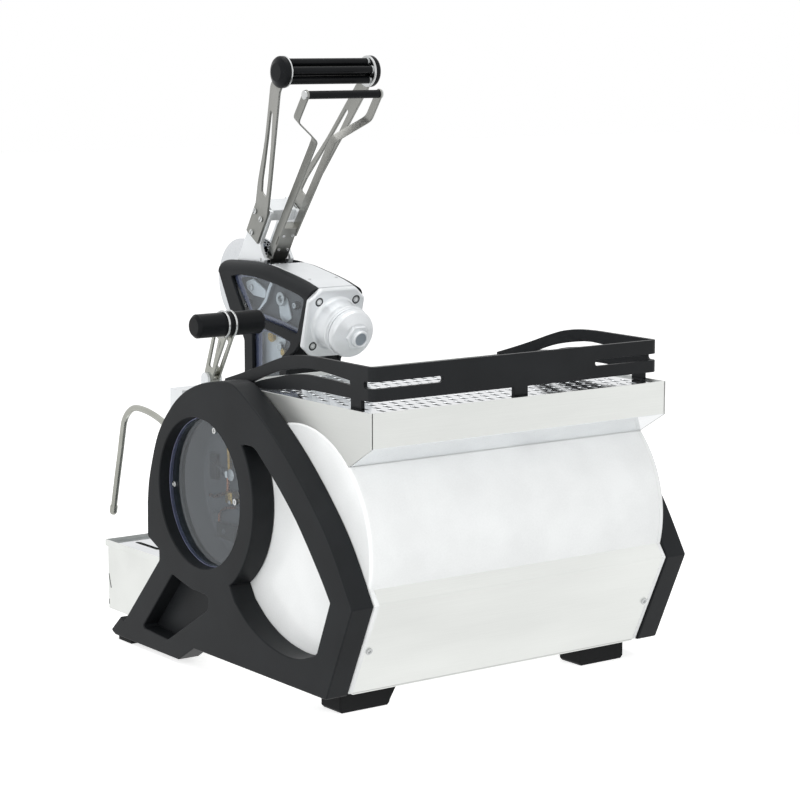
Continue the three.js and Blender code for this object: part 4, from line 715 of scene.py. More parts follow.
class MACHINE_OT_side_frames(bpy.types.Operator):
    """Cast side frames with the ring round the window, the large opening and the pocket in the leg"""
    bl_idname = "machine.side_frames"
    bl_label = "Side frames"

    def execute(self, context):
        edge = context.scene.machine_looks.casting_edge / MM
        arch = [
            *curve(frame_spots(FRAME_FRONT_CURVE), 4),
            *curve(frame_spots(FRAME_CROWN), 4)[1:],
            *curve(frame_spots(FRAME_BACK_CURVE), 6)[1:],
        ]
        outline = rounded(
            [*arch, *frame_spots(FRAME_FOOT)],
            [0] * (len(arch) - 1) + [4, 5, 4, 4, 3, 3, 3, 4, 6, 6, 6],
        )
        slope = frame_spots(OPENING_SLOPE)
        opening = [
            *arc(WINDOW, RING_RADIUS, -55.8, 36, 36),
            *curve(slope[:3], 3)[:-1],
            *curve(slope[2:], 4)[:-1],
            *rounded([slope[-2], slope[-1], *frame_spots(OPENING_BOWL)[:2]], [0, 3, 3, 0], closed=False)[1:-1],
            *curve(frame_spots(OPENING_BOWL)[1:], 4),
        ]
        pocket = rounded(frame_spots(POCKET), [5, 4, 4, 4, 5, 8, 6, 4, 3], steps=5)

        def casting():
            return plate(
                "x", outline, FRAME_INNER, FRAME_OUTER, edge=edge, steps=4,
                holes=(circle(WINDOW, WINDOW_RADIUS, 96), opening), pocket=pocket, depth=25,
            )

        finish_pair(casting, "side_casting", "machine", "casting", replaces=["side_frame"])
        return {"FINISHED"}


class MACHINE_OT_windows(bpy.types.Operator):
    """Round windows with their screws, and the pipes and fittings in the dark cup behind them"""
    bl_idname = "machine.windows"
    bl_label = "Round windows"

    def execute(self, context):
        glass_back = GLASS_FACE - 5

        def pane():
            profile = oblong((0, glass_back), (105.2, GLASS_FACE), 0.5, closed=False, steps=2)
            return turned("x", profile, WINDOW, 96)

        def rim():
            return turned("x", oblong((105.3, glass_back), (106.7, GLASS_FACE), 0.3, steps=2), WINDOW, 96)

        def screws():
            places = ((-81.6, 349.3), (-192.2, 257.0), (-29.3, 256.1))
            return joined(*[facing(screw(4.6, 2.6), "x", (GLASS_FACE, *place)) for place in places])

        def cup():
            return turned("x", rounded([
                (0, 214), (103.7, 214), (103.7, 255), (106.7, 255), (106.7, 267.6), (105.4, 267.6), (105.4, 256.4),
                (101.7, 256.4), (101.7, 216), (0, 216),
            ], [0, 0, 0.5, 0.5, 0.3, 0.3, 0.5, 0.8, 4, 0], closed=False), WINDOW, 96)

        def inside():
            copper, satin, rubber, brass = range(4)
            wall, front = 216.2, 228
            high_pipe = rounded([
                (222, -129.7, 272), (222, -129.7, 262), (222, -131, 249), (221, -148, 243), (219, -172, 236),
                (218, -186, 236),
            ], 9, closed=False, steps=6)
            low_pipe = rounded([
                (220, -158, 186), (220, -158, 214), (220, -140, 224), (219, -118, 228),
            ], 9, closed=False, steps=6)
            studs = ((2.2, (-176, 214)), (2.2, (-150, 322)), (1.8, (-172, 176)))
            return joined(
                (swept(high_pipe, 2.6), copper),
                (swept(low_pipe, 2.2), copper),
                (swept([(222, -127, 316), (222, -126, 298), (222, -125, 281)], 3.4), brass),
                (swept([(222, -174, 288), (222, -154, 281), (222, -136, 276)], 2.2), satin),
                (hexagon("z", 8.5, 271.5, 281, (222, -125)), satin),
                (hexagon("y", 6.4, -140, -131, (222, 276.5)), satin),
                (rod("x", 9, 216, 230, (-112, 277), 1.0), satin),
                (brick((wall, -125, 235), (231, -107, 252), 2.0), brass),
                (facing(screw(3.2, 1.6), "x", (231, -112, 238)), satin),
                (brick((wall, -154.8, 180), (front, -107.2, 202.7), 2.0), rubber),
                (hexagon("x", 4.2, front, 231, (-129.4, 193.1)), satin),
                (brick((wall, -178, 262), (224, -160, 300), 2.0), rubber),
                (brick((wall, -112, 300), (front, -92, 330), 2.0), rubber),
                (rod("z", 4.2, 150, 172, (224, -161), 0.8), brass),
                (hexagon("z", 6.5, 157, 164, (224, -161)), brass),
                (rod("z", 3.6, 140, 162, (225, -134), 0.8), brass),
                (rod("y", 3.2, -161, -134, (224, 152), 0.8), brass),
                *[(rod("x", radius, 216, 219, place, 0.6, 16), satin) for radius, place in studs],
            )

        finish_pair(pane, "round_window", "machine", "pane", replaces=["ring_window"])
        finish_pair(rim, "window_rim", "machine", "acrylic_edge")
        finish_pair(screws, "window_screws", "machine", "satin")
        finish_pair(cup, "window_cup", "machine", "dark", replaces=["end_plate"])
        finish_pair(inside, "window_fittings", "machine", "copper", "satin", "rubber", "brass")
        return {"FINISHED"}


class MACHINE_OT_body_shell(bpy.types.Operator):
    """White end covers and curved back, the folded panel under it, the front panel and the floor"""
    bl_idname = "machine.body_shell"
    bl_label = "Body shell"

    def execute(self, context):
        thick = 2
        bend = curve([(FRONT, 330), (-210, 354.7), (-172, SHOULDER)], 8)
        top = 180 - math.degrees(math.asin((SHOULDER - BARREL_AXIS[1]) / BARREL_RADIUS))
        outline = [
            (FRONT, FLOOR + thick), (PANEL_FOOT, FLOOR + thick), FOLD,
            *arc(BARREL_AXIS, BARREL_RADIUS, BARREL_START, top, 72),
            *reversed(bend),
        ]

        def cover():
            rim = COVER_OUTER - COVER_EDGE
            mesh = plate("x", outline, BODY_HALF, rim, holes=(circle(WINDOW, COVER_HOLE, 96),))
            soften(mesh, [face for face in mesh.faces if face.calc_center_median().x > rim - 0.01], COVER_EDGE, 6)
            return mesh

        finish_pair(cover, "white_end", "machine", "enamel", replaces=["end_cover"])

        barrel = [
            *arc(BARREL_AXIS, BARREL_RADIUS, BARREL_START, 58, 56),
            *arc(BARREL_AXIS, BARREL_RADIUS - thick, 58, BARREL_START, 56),
        ]
        barrel = plate("x", barrel, -BODY_HALF, BODY_HALF, edge=0.6, steps=2)
        finish(barrel, "curved_back", "machine", "enamel", replaces=["rear_barrel"])

        # The panel hangs under the barrel's lower edge, with a screw near each end
        lip = arc(BARREL_AXIS, BARREL_RADIUS, BARREL_START, BARREL_START, 1)[0]
        path = rounded([
            (PANEL_FOOT, FLOOR + 2.3), FOLD, (lip[0] + 1.2, lip[1] - 0.4), (lip[0] - 1.8, lip[1] + 4.5),
        ], [0, 7, 1, 0], closed=False, steps=6)
        slope = Vector((0, FOLD[0] - PANEL_FOOT, FOLD[1] - FLOOR)).normalized()
        turn = Matrix.Rotation(-math.atan2(slope.y, slope.z), 4, "X") @ Matrix.Rotation(-math.pi / 2, 4, "X")
        heads = []
        for x in (-240.5, 240.5):
            place = Vector((x, PANEL_FOOT, FLOOR + 2.3)) + slope * 69
            heads.append((moved(screw(5, 2.6), Matrix.Translation(place) @ turn), 1))
        finish(
            joined(sheet("x", path, thick, -BODY_HALF, BODY_HALF, 0.5), *heads), "folded_back_panel", "machine",
            "brushed", "satin", replaces=["rear_lower_panel"],
        )

        front = [(FRONT, FLOOR + 2.3), *bend, (-90, SHOULDER)]
        front = sheet("x", front[::-1], thick, -BODY_HALF, BODY_HALF, 0.5)
        finish(front, "front_sheet", "machine", "enamel", replaces=["front_panel"])

        runners = [brick((x - 10, -430, 14.7), (x + 10, -202, 22.7), 1.0) for x in (-190, 190)]
        runners += [brick((x - 10, -224, 14.7), (x + 10, -202, FLOOR + 1), 1.0) for x in (-190, 190)]
        finish(joined(
            brick((-BODY_HALF, FRONT, FLOOR), (BODY_HALF, PANEL_FOOT, FLOOR + thick), 0.5),
            brick((-BODY_HALF, -221.7, FLOOR + 1), (BODY_HALF, -219.7, FLOOR + 16), 0.5),
            *runners,
        ), "floor_pan", "machine", "brushed", replaces=["base_pan"])
        return {"FINISHED"}


class MACHINE_OT_feet(bpy.types.Operator):
    """Black block feet at the back and pads under the front legs"""
    bl_idname = "machine.feet"
    bl_label = "Feet"

    def execute(self, context):
        def block_foot():
            outline = rounded([
                (171.5, 0), (246, 0), (250, 4), (250, 31.2), (167.5, 31.2), (167.5, 4),
            ], [2, 2, 2, 1, 1, 2])
            return plate("y", outline, 143, 188, edge=2.0, steps=3)

        def pad():
            return brick((258.5, -340, 0), (286.5, -302, 6.4), 1.5, 3)

        finish_pair(block_foot, "block_foot", "machine", "rubber", replaces=["rear_foot"])
        finish_pair(pad, "leg_pad", "machine", "rubber", replaces=["front_pad"])
        return {"FINISHED"}


class MACHINE_OT_cup_tray(bpy.types.Operator):
    """Cup tray with its upright band, slanted mirror skirt and mitred ends, and the slotted grate"""
    bl_idname = "machine.cup_tray"
    bl_label = "Cup tray"

    def execute(self, context):
        brushed, shaded_brushed_end, mirror, rubber = range(4)
        thick = 1.8
        cut = BARREL_RADIUS - 1.6
        start = math.degrees(math.atan2(TUCK[1] - BARREL_AXIS[1], TUCK[0] - BARREL_AXIS[0]))
        stop = 180 - math.degrees(math.asin((SKIRT - BARREL_AXIS[1]) / cut))
        end = [
            (TRAY_FRONT, TRAY_TOP), (TRAY_FRONT, SKIRT), *reversed(arc(BARREL_AXIS, cut, start, stop, 30)),
            TUCK, (TRAY_REAR, SKIRT), (TRAY_REAR, TRAY_TOP),
        ]
        ends = [plate("x", end, low, low + thick, edge=0.7) for low in (-TRAY_HALF, TRAY_HALF - thick)]
        inner = TRAY_HALF - 2.9
        band = [(TRAY_REAR, TRAY_TOP), (TRAY_REAR, SKIRT + 1.0)]
        skirt = [(TRAY_REAR, SKIRT + 0.2), (TUCK[0] + 0.6, TUCK[1] + 0.3)]
        # Black strips along the joins of the band, the ends and the skirt, painted in as the shade and dark reflection
        # that lie along them
        near, far = TRAY_REAR - 2.4, TRAY_REAR - 1.2
        shade_strips = [((x - 0.7, near, SKIRT), (x + 0.7, far, TRAY_TOP - 0.6)) for x in (-inner - 0.4, inner + 0.4)]
        shade_strips.append(((-inner, near, SKIRT - 0.4), (inner, far, SKIRT + 1.8)))
        finish(joined(
            # The ends take the darker end sheet, whose tone is painted shade
            *[(each, shaded_brushed_end) for each in ends],
            (sheet("x", band, -thick, -inner, inner, 0.4), brushed),
            # The skirt takes the paler mirror, painted brighter to stand in for its reflection
            (sheet("x", skirt, -1.6, -inner, inner, 0.4), mirror),
            (brick((-inner, TRAY_FRONT, SKIRT), (inner, TRAY_FRONT + thick, TRAY_TOP), 0.4), brushed),
            (brick((-inner, TRAY_FRONT + 1, 393), (inner, TRAY_REAR - 1, 394.8), 0.4), brushed),
            # Painted shade: thin black rubber strips along the joins
            *[(brick(low, high, 0.1, 1), rubber) for low, high in shade_strips],
        ), "cup_tray_sheet", "machine", "brushed", "shaded_brushed_end", "brightened_mirror_skirt", "rubber", replaces=["cup_tray"])

        half, front, rear = TRAY_HALF - 2.2, TRAY_FRONT + 2.2, TRAY_REAR - 2.2
        pitch, row_pitch = 18.0, 23.5
        rows = int((rear - front - 16) / row_pitch)
        columns = int((2 * half - 20) / pitch)
        first = (front + rear - (rows - 1) * row_pitch) / 2
        grate = plate(
            "z", oblong((-half, front), (half, rear), 3), *GRATE, edge=0.4, steps=1,
            holes=slots(rows, columns, pitch, row_pitch, first, 5.7, 3.3, 5),
        )
        finish(grate, "slotted_grate", "machine", "polished", replaces=["cup_grate"])
        return {"FINISHED"}


# Rail, drawn flat as it is before it is bent round the three sides
RAIL_POST = (0.865, 0.932)
RAIL_MIDDLE_POST = 12
RAIL_TOP = (
    (0.0, 0.06), (0.118, 0.272), (0.239, 0.505), (0.351, 0.735), (0.442, 0.89), (0.53, 0.97), (0.625, 1.0),
    (0.73, 1.0), (0.865, 0.997),
)
RAIL_UNDER = ((0.73, 0.215), (0.62, 0.212), (0.505, 0.158), (0.394, 0.07), (0.315, 0.0))
RAIL_SLOT_TOP = (
    (0.2, 0.115), (0.283, 0.308), (0.397, 0.515), (0.57, 0.69), (0.677, 0.69), (0.782, 0.65), (0.858, 0.61),
)
RAIL_SLOT_UNDER = (
    (0.862, 0.505), (0.782, 0.535), (0.677, 0.545), (0.57, 0.545), (0.459, 0.47), (0.374, 0.355), (0.26, 0.2),
    (0.2, 0.085),
)


class MACHINE_OT_cup_rail(bpy.types.Operator):
    """Flat black rail with its long slot, bent round three sides of the tray"""
    bl_idname = "machine.cup_rail"
    bl_label = "Cup rail"

    def execute(self, context):
        bend = context.scene.machine_looks.rail_bend / MM
        thick = 6
        side = RAIL_REAR - RAIL_FRONT
        straight = side - bend
        quarter = math.pi / 2 * (bend - thick / 2)
        middle = straight + quarter + RAIL_HALF - bend

        def flat(table):
            return shares(table, (0, RAIL_FOOT), (side, RAIL_HEIGHT))

        def flipped(points):
            return [(2 * middle - u, z) for u, z in reversed(points)]

        def up(share):
            return RAIL_FOOT + share * RAIL_HEIGHT

        # Half of the flat rail from the middle of the back to its front end, and its other half
        near, far = RAIL_POST[0] * side, RAIL_POST[1] * side
        under = up(0.212)
        half = [
            (middle - RAIL_MIDDLE_POST, RAIL_FOOT), (middle - RAIL_MIDDLE_POST, under),
            (far, under), (far, RAIL_FOOT), (near, RAIL_FOOT), (near, under),
            *curve(flat(RAIL_UNDER), 4), (0, RAIL_FOOT), *curve(flat(RAIL_TOP), 4), (straight, up(0.995)),
        ]
        gap = (up(0.655) - up(0.505)) / 2
        level = (up(0.655) + up(0.505)) / 2
        holes = [
            [*curve(flat(RAIL_SLOT_TOP), 3), *curve(flat(RAIL_SLOT_UNDER), 3)],
            [
                *arc((middle - 131 - gap, level), gap, -90, 90, 8), *arc((0.948 * side + gap, level), gap, 90, 270, 8),
            ],
        ]
        holes += [flipped(hole) for hole in holes]
        mesh = plate("x", [*half, *flipped(half)], 0, thick, edge=0.8, steps=2, holes=holes)
        for corner in (straight, 2 * middle - straight - quarter):
            for i in range(9):
                bmesh.ops.bisect_plane(
                    mesh, geom=[*mesh.verts, *mesh.edges, *mesh.faces], dist=0.001,
                    plane_co=(0, corner + quarter * i / 8, 0), plane_no=(0, 1, 0),
                )
        for corner in mesh.verts:
            depth, u, z = corner.co
            out = depth - thick
            other = u > middle
            u = 2 * middle - u if other else u
            if u <= straight:
                x, y = RAIL_HALF + out, RAIL_FRONT + u
            elif u <= straight + quarter:
                angle = (u - straight) / quarter * math.pi / 2
                x = RAIL_HALF - bend + (bend + out) * math.cos(angle)
                y = RAIL_REAR - bend + (bend + out) * math.sin(angle)
            else:
                x, y = RAIL_HALF - bend - (u - straight - quarter), RAIL_REAR + out
            corner.co = (-x if other else x, y, z)
        spans = [
            (x, RAIL_FRONT + low, x + thick, RAIL_FRONT + high)
            for x in (-RAIL_HALF, RAIL_HALF - thick) for low, high in ((6, 40), (near, far))
        ]
        spans.append((-RAIL_MIDDLE_POST, RAIL_REAR - thick, RAIL_MIDDLE_POST, RAIL_REAR))
        feet = [brick((a, b, RAIL_SEAT), (c, d, RAIL_FOOT + 2), 0.5) for a, b, c, d in spans]
        finish(joined(mesh, *feet), "bent_rail", "machine", "black_sheet", replaces=["cup_rail"])
        return {"FINISHED"}


# Group between its two cheeks

def cheek_spots(table):
    return shares(table, (-428, 335), (250, 220))


def spring_spot(back, up):
    """A place on the spring's axis, back along it and up across it."""
    y, z = SPRING_SEAT
    turn = -SPRING_DIP
    return (y + back * math.cos(turn) + up * math.sin(turn), z - back * math.sin(turn) + up * math.cos(turn))


def carried(section, path, lean, edge):
    """A section in (X, height) carried along a line in (Y, Z), with a rounded start and a leaning end."""
    mesh = bmesh.new()
    start = loop(mesh, "y", [(x, path[0][1] + rise) for x, rise in section], path[0][0])[0]
    front = mesh.faces.new(start)
    cap = [front]
    for i, (before, after) in enumerate(zip(path, path[1:])):
        cap = push(mesh, cap, (0, after[0] - before[0], after[1] - before[1]), keep=i == 0)
    for corner in cap[0].verts:
        corner.co.y += lean * (corner.co.z - path[-1][1])
    bmesh.ops.recalc_face_normals(mesh, faces=mesh.faces)
    soften(mesh, [front], edge, 3)
    return mesh


CREST = (
    (0.0, 0.973), (0.043, 0.979), (0.127, 0.983), (0.224, 0.987), (0.321, 0.988), (0.429, 0.983), (0.55, 0.97),
    (0.669, 0.947), (0.8, 0.921), (0.902, 0.896),
)
CHEEK_REAR = ((0.847, 0.425), (0.8, 0.4), (0.76, 0.33), (0.756, 0.0))
CHEEK_FRONT = ((0.292, 0.0), (0.292, 0.44), (0.262, 0.5), (0.126, 0.645))
UPPER_WINDOW = (
    (0.144, 0.877), (0.24, 0.895), (0.415, 0.893), (0.65, 0.865), (0.806, 0.835), (0.945, 0.797), (0.94, 0.755),
    (0.872, 0.545), (0.65, 0.585), (0.49, 0.607), (0.292, 0.627),
)
LOWER_WINDOW = (
    (0.384, 0.532), (0.49, 0.548), (0.678, 0.515), (0.808, 0.482), (0.784, 0.44), (0.708, 0.377), (0.68, 0.3),
    (0.676, 0.13), (0.384, 0.13),
)
PANE = (
    (0.115, 0.89), (0.24, 0.903), (0.415, 0.901), (0.65, 0.873), (0.82, 0.845), (0.95, 0.806), (0.955, 0.755),
    (0.885, 0.53), (0.742, 0.43), (0.708, 0.35), (0.708, 0.09), (0.35, 0.09), (0.35, 0.6),
)

UPPER_BORDER = (
    (0.203, 0.866), (0.28, 0.882), (0.415, 0.88), (0.65, 0.852), (0.8, 0.822), (0.93, 0.786), (0.925, 0.755),
    (0.862, 0.575), (0.65, 0.613), (0.49, 0.635), (0.335, 0.656),
)
LOWER_BORDER = (
    (0.44, 0.512), (0.49, 0.522), (0.678, 0.492), (0.785, 0.463), (0.765, 0.44), (0.695, 0.385), (0.668, 0.3),
    (0.664, 0.16), (0.44, 0.16),
)


class MACHINE_OT_group(bpy.types.Operator):
    """Black cheeks with their clear panes, the wall between them and the silver cover on top"""
    bl_idname = "machine.group"
    bl_label = "Group"

    def execute(self, context):
        # The black edge follows the crest and falls low on its inner side
        end = spring_spot(-8.5, 53.4)
        crest = [*curve(cheek_spots(CREST), 2), end]
        lean = math.tan(-SPRING_DIP)
        low = 15.5
        outline = rounded([
            *[(y, z - low) for y, z in crest[:-1]], (end[0] - lean * low, end[1] - low), spring_spot(-8.5, -29),
            *cheek_spots(CHEEK_REAR + CHEEK_FRONT),
        ], [0] * (len(crest) - 1) + [2, 6, 8, 8, 8, 2, 2, 8, 10, 10])
        turns = [math.pi / 2 * i / 10 for i in range(11)]
        section = [
            *[(31 + 13 * math.sin(t), -6 - 8 * (1 - math.cos(t))) for t in turns], (44.6, -19), (49.2, -19),
            *[(31 + 19 * math.sin(t), -17 * (1 - math.cos(t))) for t in reversed(turns)],
        ]

        def cheek():
            upper = rounded(cheek_spots(UPPER_WINDOW), [3, 60, 60, 60, 60, 3, 4, 3, 60, 60, 3], steps=3)
            lower = rounded(cheek_spots(LOWER_WINDOW), [3, 60, 60, 3, 5, 5, 8, 3, 3], steps=3)
            flat = plate("x", outline, CHEEK_INNER, CHEEK_OUTER, edge=1.4, holes=(upper, lower))
            return joined(flat, carried(section, [(crest[0][0] + 1.4, crest[0][1]), *crest[1:]], lean, 1.4))

        def pane():
            return plate("x", rounded(cheek_spots(PANE), 3), 41.4, 43.7, edge=0.4, steps=1)

        def border():
            windows = [rounded(cheek_spots(table), 3, steps=3) for table in (UPPER_BORDER, LOWER_BORDER)]
            return plate("x", rounded(cheek_spots(PANE), 3), 40.0, 41.3, edge=0.3, steps=1, holes=windows)

        def lining():
            back = [
                (-350, 340), (-244, 340), (-244, 412), (-222, 434), (-199, 527),
                *[(y, z - 8) for y, z in crest[-5:0:-1]], (-392, 478), (-358, 446), (-350, 430),
            ]
            return plate("x", rounded(back, 1), 28.4, 30, edge=0.4, steps=1, holes=[circle(PIVOT, 11, 32)])

        def works():
            silver, satin, rubber, brass, polished = range(5)
            wall, stud = 30.2, 37
            eye = (-272.8, 501.7)
            link = rounded([(-284, 498), (-262, 505), (-248, 474), (-268, 464), (-280, 474)], 5)
            rocker = rounded([(-374, 520), (-352, 526), (-318, 512), (-318, 498), (-352, 500), (-368, 508)], 5)
            band = [(34, -296, 525), (34, -303, 517), (34, -314, 496), (34, -333, 479)]
            pale = rounded([(-346, 452), (-262, 452), (-280.3, 402.6), (-346, 385)], 3)
            nuts = ((8, (-300.4, 441.5), brass), (7, (-277.2, 429.2), satin), (6, (-268, 421), brass))
            parts = []
            for place in ((-366.5, 487.1), (-233.2, 495.2), (-336, 404.2)):
                parts.append((rod("x", 6.2, wall, stud, place, 1.2, 24), rubber))
                parts.append((facing(screw(4.6, 2.2), "x", (stud, *place)), satin))
            return joined(
                *parts,
                (turned("x", oblong((5.0, 33), (11, 38), 1.4), eye, 40), satin),
                (plate("x", link, wall, 34, edge=1.2, holes=[circle(eye, 5, 24)]), silver),
                (plate("x", rocker, wall, 34.5, edge=1.4), silver),
                (rod("x", 5, wall, stud, (-355, 512), 1.2, 24), satin),
                (swept(rounded(band, 8, closed=False), 4.4), polished),
                (plate("x", pale, wall, 32, edge=0.5, steps=1), silver),
                *[(hexagon("x", radius, 32, stud, place), number) for radius, place, number in nuts],
            )

        finish_pair(cheek, "cheek_plate", "machine", "casting", replaces=["group_cheek"])
        finish_pair(pane, "cheek_pane", "machine", "pane", replaces=["group_pane"])
        finish_pair(border, "cheek_pane_rim", "machine", "acrylic_edge")
        finish_pair(lining, "group_lining", "machine", "lining")
        finish_pair(
            works, "group_works", "machine", "cast_silver", "satin", "rubber", "brass", "polished",
            slot="polished_steel",
        )

        top = [(y, z + 1.2) for y, z in crest if y > -319]
        heads = [
            (facing(screw(2.6, 0.5), "z", (x, y, z + 1.05)), 1) for x in (-24, 24) for y, z in (crest[11], crest[17])
        ]
        finish(
            joined(sheet("x", top[::-1], 3, -30.7, 30.7, 0.8), *heads), "arched_cover", "machine", "cast_silver",
            "satin", replaces=["group_top_cover"],
        )
        dress("black_sheet", "group_frame")
        return {"FINISHED"}


class MACHINE_OT_spring_housing(bpy.types.Operator):
    """Octagonal flange with sunk bolts in dark rings that are painted shade of their counterbores, the barrel, the cap
    with its hexagon and eye, and what is inside
    """
    bl_idname = "machine.spring_housing"
    bl_label = "Spring housing"

    def execute(self, context):
        silver, satin, dark = range(3)

        def octagon(half_width, half_height, corner_x, corner_z, radius):
            corner = [(half_width, corner_z), (corner_x, half_height)]
            half = [*corner, *[(-x, z) for x, z in reversed(corner)]]
            return rounded([*half, *[(-x, -z) for x, z in half]], radius)

        flange = plate("y", octagon(50, 54, 31, 37, 7), -8.2, -3.6, holes=[circle((0, 0), 31)])
        rear = [face for face in flange.faces if face.calc_center_median().y > -3.61]
        soften(flange, rear, 4.6, 5, 3.6)
        plug = octagon(41.1, 50, 22.5, 20, 4)
        collar = rounded([
            (31, -8), (38, -8), (38, -1), (42.4, -0.4), (39.2, 2), (38, 5.5), (37.6, 25), (38.6, 31), (38.6, 34.4),
            (36.6, 35.4), (36.6, 38), (31, 38),
        ], [0, 0, 0, 0.5, 3, 3, 2, 2, 0.6, 0.3, 0.3, 0.5])
        bolts = []
        for x, z in [(x, z) for x in (-33, 33) for z in (-34.8, 34.8)]:
            # A dark ring of spring steel round each bolt head is painted shade, standing in for the shadow in its
            # counterbore
            bolts.append((turned("y", oblong((4.4, -2), (6.9, 0.1), 0.1), (x, z), 32), dark))
            bolts.append((facing(screw(4.5, 1.6), "y", (x, -1.2, z)), satin))
        finish(joined(
            (flange, silver),
            (plate("y", plug, -20, -8, edge=0.5, steps=1, holes=[circle((0, 0), 6.4, 24)]), silver),
            (turned("y", collar, steps=64), silver),
            *bolts,
        ), "housing_casting", "machine", "cast_silver", "satin", "spring", replaces=["spring_housing"], place=SPRING)

        cap = rounded([
            (29, 38.3), (35.4, 38.3), (36.6, 40), (36.6, 47.5), (34.8, 51.5), (21, 59.4), (12, 62.6), (12, 55),
            (29, 50),
        ], [0.4, 0.8, 1.2, 2.4, 4, 6, 0.4, 0, 0])
        eye = rounded([
            (9.6, 60), (13, 62), (13, 70.6), (12, 72.3), (10.6, 72.3), (9.6, 71.2),
        ], [0, 0, 1.0, 0.8, 0.6, 0.4])
        finish(joined(
            turned("y", cap, steps=64),
            plate("y", circle((0, 0), 20, 6), 55, 65.6, edge=2.4, steps=4, holes=[circle((0, 0), 9.6, 32)]),
            turned("y", eye),
            (rod("y", 9.7, 54, 69.4, edge=0.3), 1),
        ), "cap_casting", "machine", "cast_silver", "machined", replaces=["spring_cap"], place=SPRING)
        dress("satin", "spring_plunger")
        dress("spring", "main_spring")
        return {"FINISHED"}


class MACHINE_OT_brewing_chamber(bpy.types.Operator):
    """Bell under the cheeks with its gasket, screen and piston"""
    bl_idname = "machine.brewing_chamber"
    bl_label = "Brewing chamber"

    def execute(self, context):
        bell = rounded([
            (37, 243), (44.5, 243), (46, 244.5), (46, 253), (44.5, 255), (44.5, 300), (46, 303), (46, 334.7),
            (5.3, 334.7), (5.3, 324.7), (29, 324.7), (29, 262), (37, 262),
        ], [0.5, 0.8, 0.8, 1, 1, 3, 3, 1, 0.2, 0.2, 0.5, 0.3, 0.3])
        neck = brick((-38, -296.5, 262), (38, -224.3, 334.7), 4, 3)
        bmesh.ops.bisect_plane(
            neck, geom=[*neck.verts, *neck.edges, *neck.faces], plane_co=(0, -262, 0), plane_no=(0, -1, 0),
            clear_outer=True,
        )
        finish(
            joined(turned("z", bell, GROUP, 64), neck), "bell_casting", "machine", "cast_silver",
            replaces=["group_bell"],
        )
        dress("rubber", "bell_gasket")
        holes = [circle(GROUP, 2.2, 12)]
        for radius, count in ((9, 6), (17, 12), (24.5, 18)):
            holes += [circle(place, 1.5, 8) for place in around(GROUP, radius, count)]
        screen = plate("z", circle(GROUP, 29.7, 64), 256.7, 258.7, edge=0.4, steps=1, holes=holes)
        finish(screen, "pierced_screen", "machine", "polished", replaces=["shower_screen"])
        dress("satin", "piston")
        return {"FINISHED"}


class MACHINE_OT_portafilter(bpy.types.Operator):
    """Portafilter with two spouts, its basket and its handle"""
    bl_idname = "machine.portafilter"
    bl_label = "Portafilter"

    def execute(self, context):
        dress("polished", "portafilter", "filter_basket")
        profile = shares((
            (0, 0), (0.6, 0.0), (0.86, 0.04), (1.0, 0.14), (0.98, 0.34), (0.82, 0.62), (0.72, 0.8), (0.8, 0.95),
            (0.8, 1.0), (0, 1.0),
        ), (0, -500), (15, 155.2))
        profile = rounded(profile, [0, 4, 8, 14, 30, 30, 12, 3, 1, 0], closed=False)
        finish(
            turned("y", profile, (0, 234)), "turned_handle", "portafilter", "grip", replaces=["portafilter_handle"],
        )
        return {"FINISHED"}


# Lever, drawn upright from its pivot: Y is behind its centre line and Z along it
ARM_REAR = ((1.0, 0.0), (1.0, 0.175), (1.0, 0.29), (0.93, 0.433), (0.8, 0.62), (0.62, 0.887))
ARM_FRONT = (
    (-0.83, 0.887), (-0.72, 0.62), (-0.75, 0.54), (-0.88, 0.44), (-0.99, 0.36), (-1.05, 0.29), (-1.02, 0.175),
    (-1.0, 0.0),
)
ARM_SLOT = (
    (0.52, 0.27), (0.52, 0.38), (0.3, 0.6), (0.02, 0.76), (-0.38, 0.766), (-0.36, 0.62), (-0.36, 0.46),
    (-0.42, 0.34), (-0.3, 0.27),
)


def arm_spots(table):
    return shares(table, (0, 86), (18, REACH - 86))


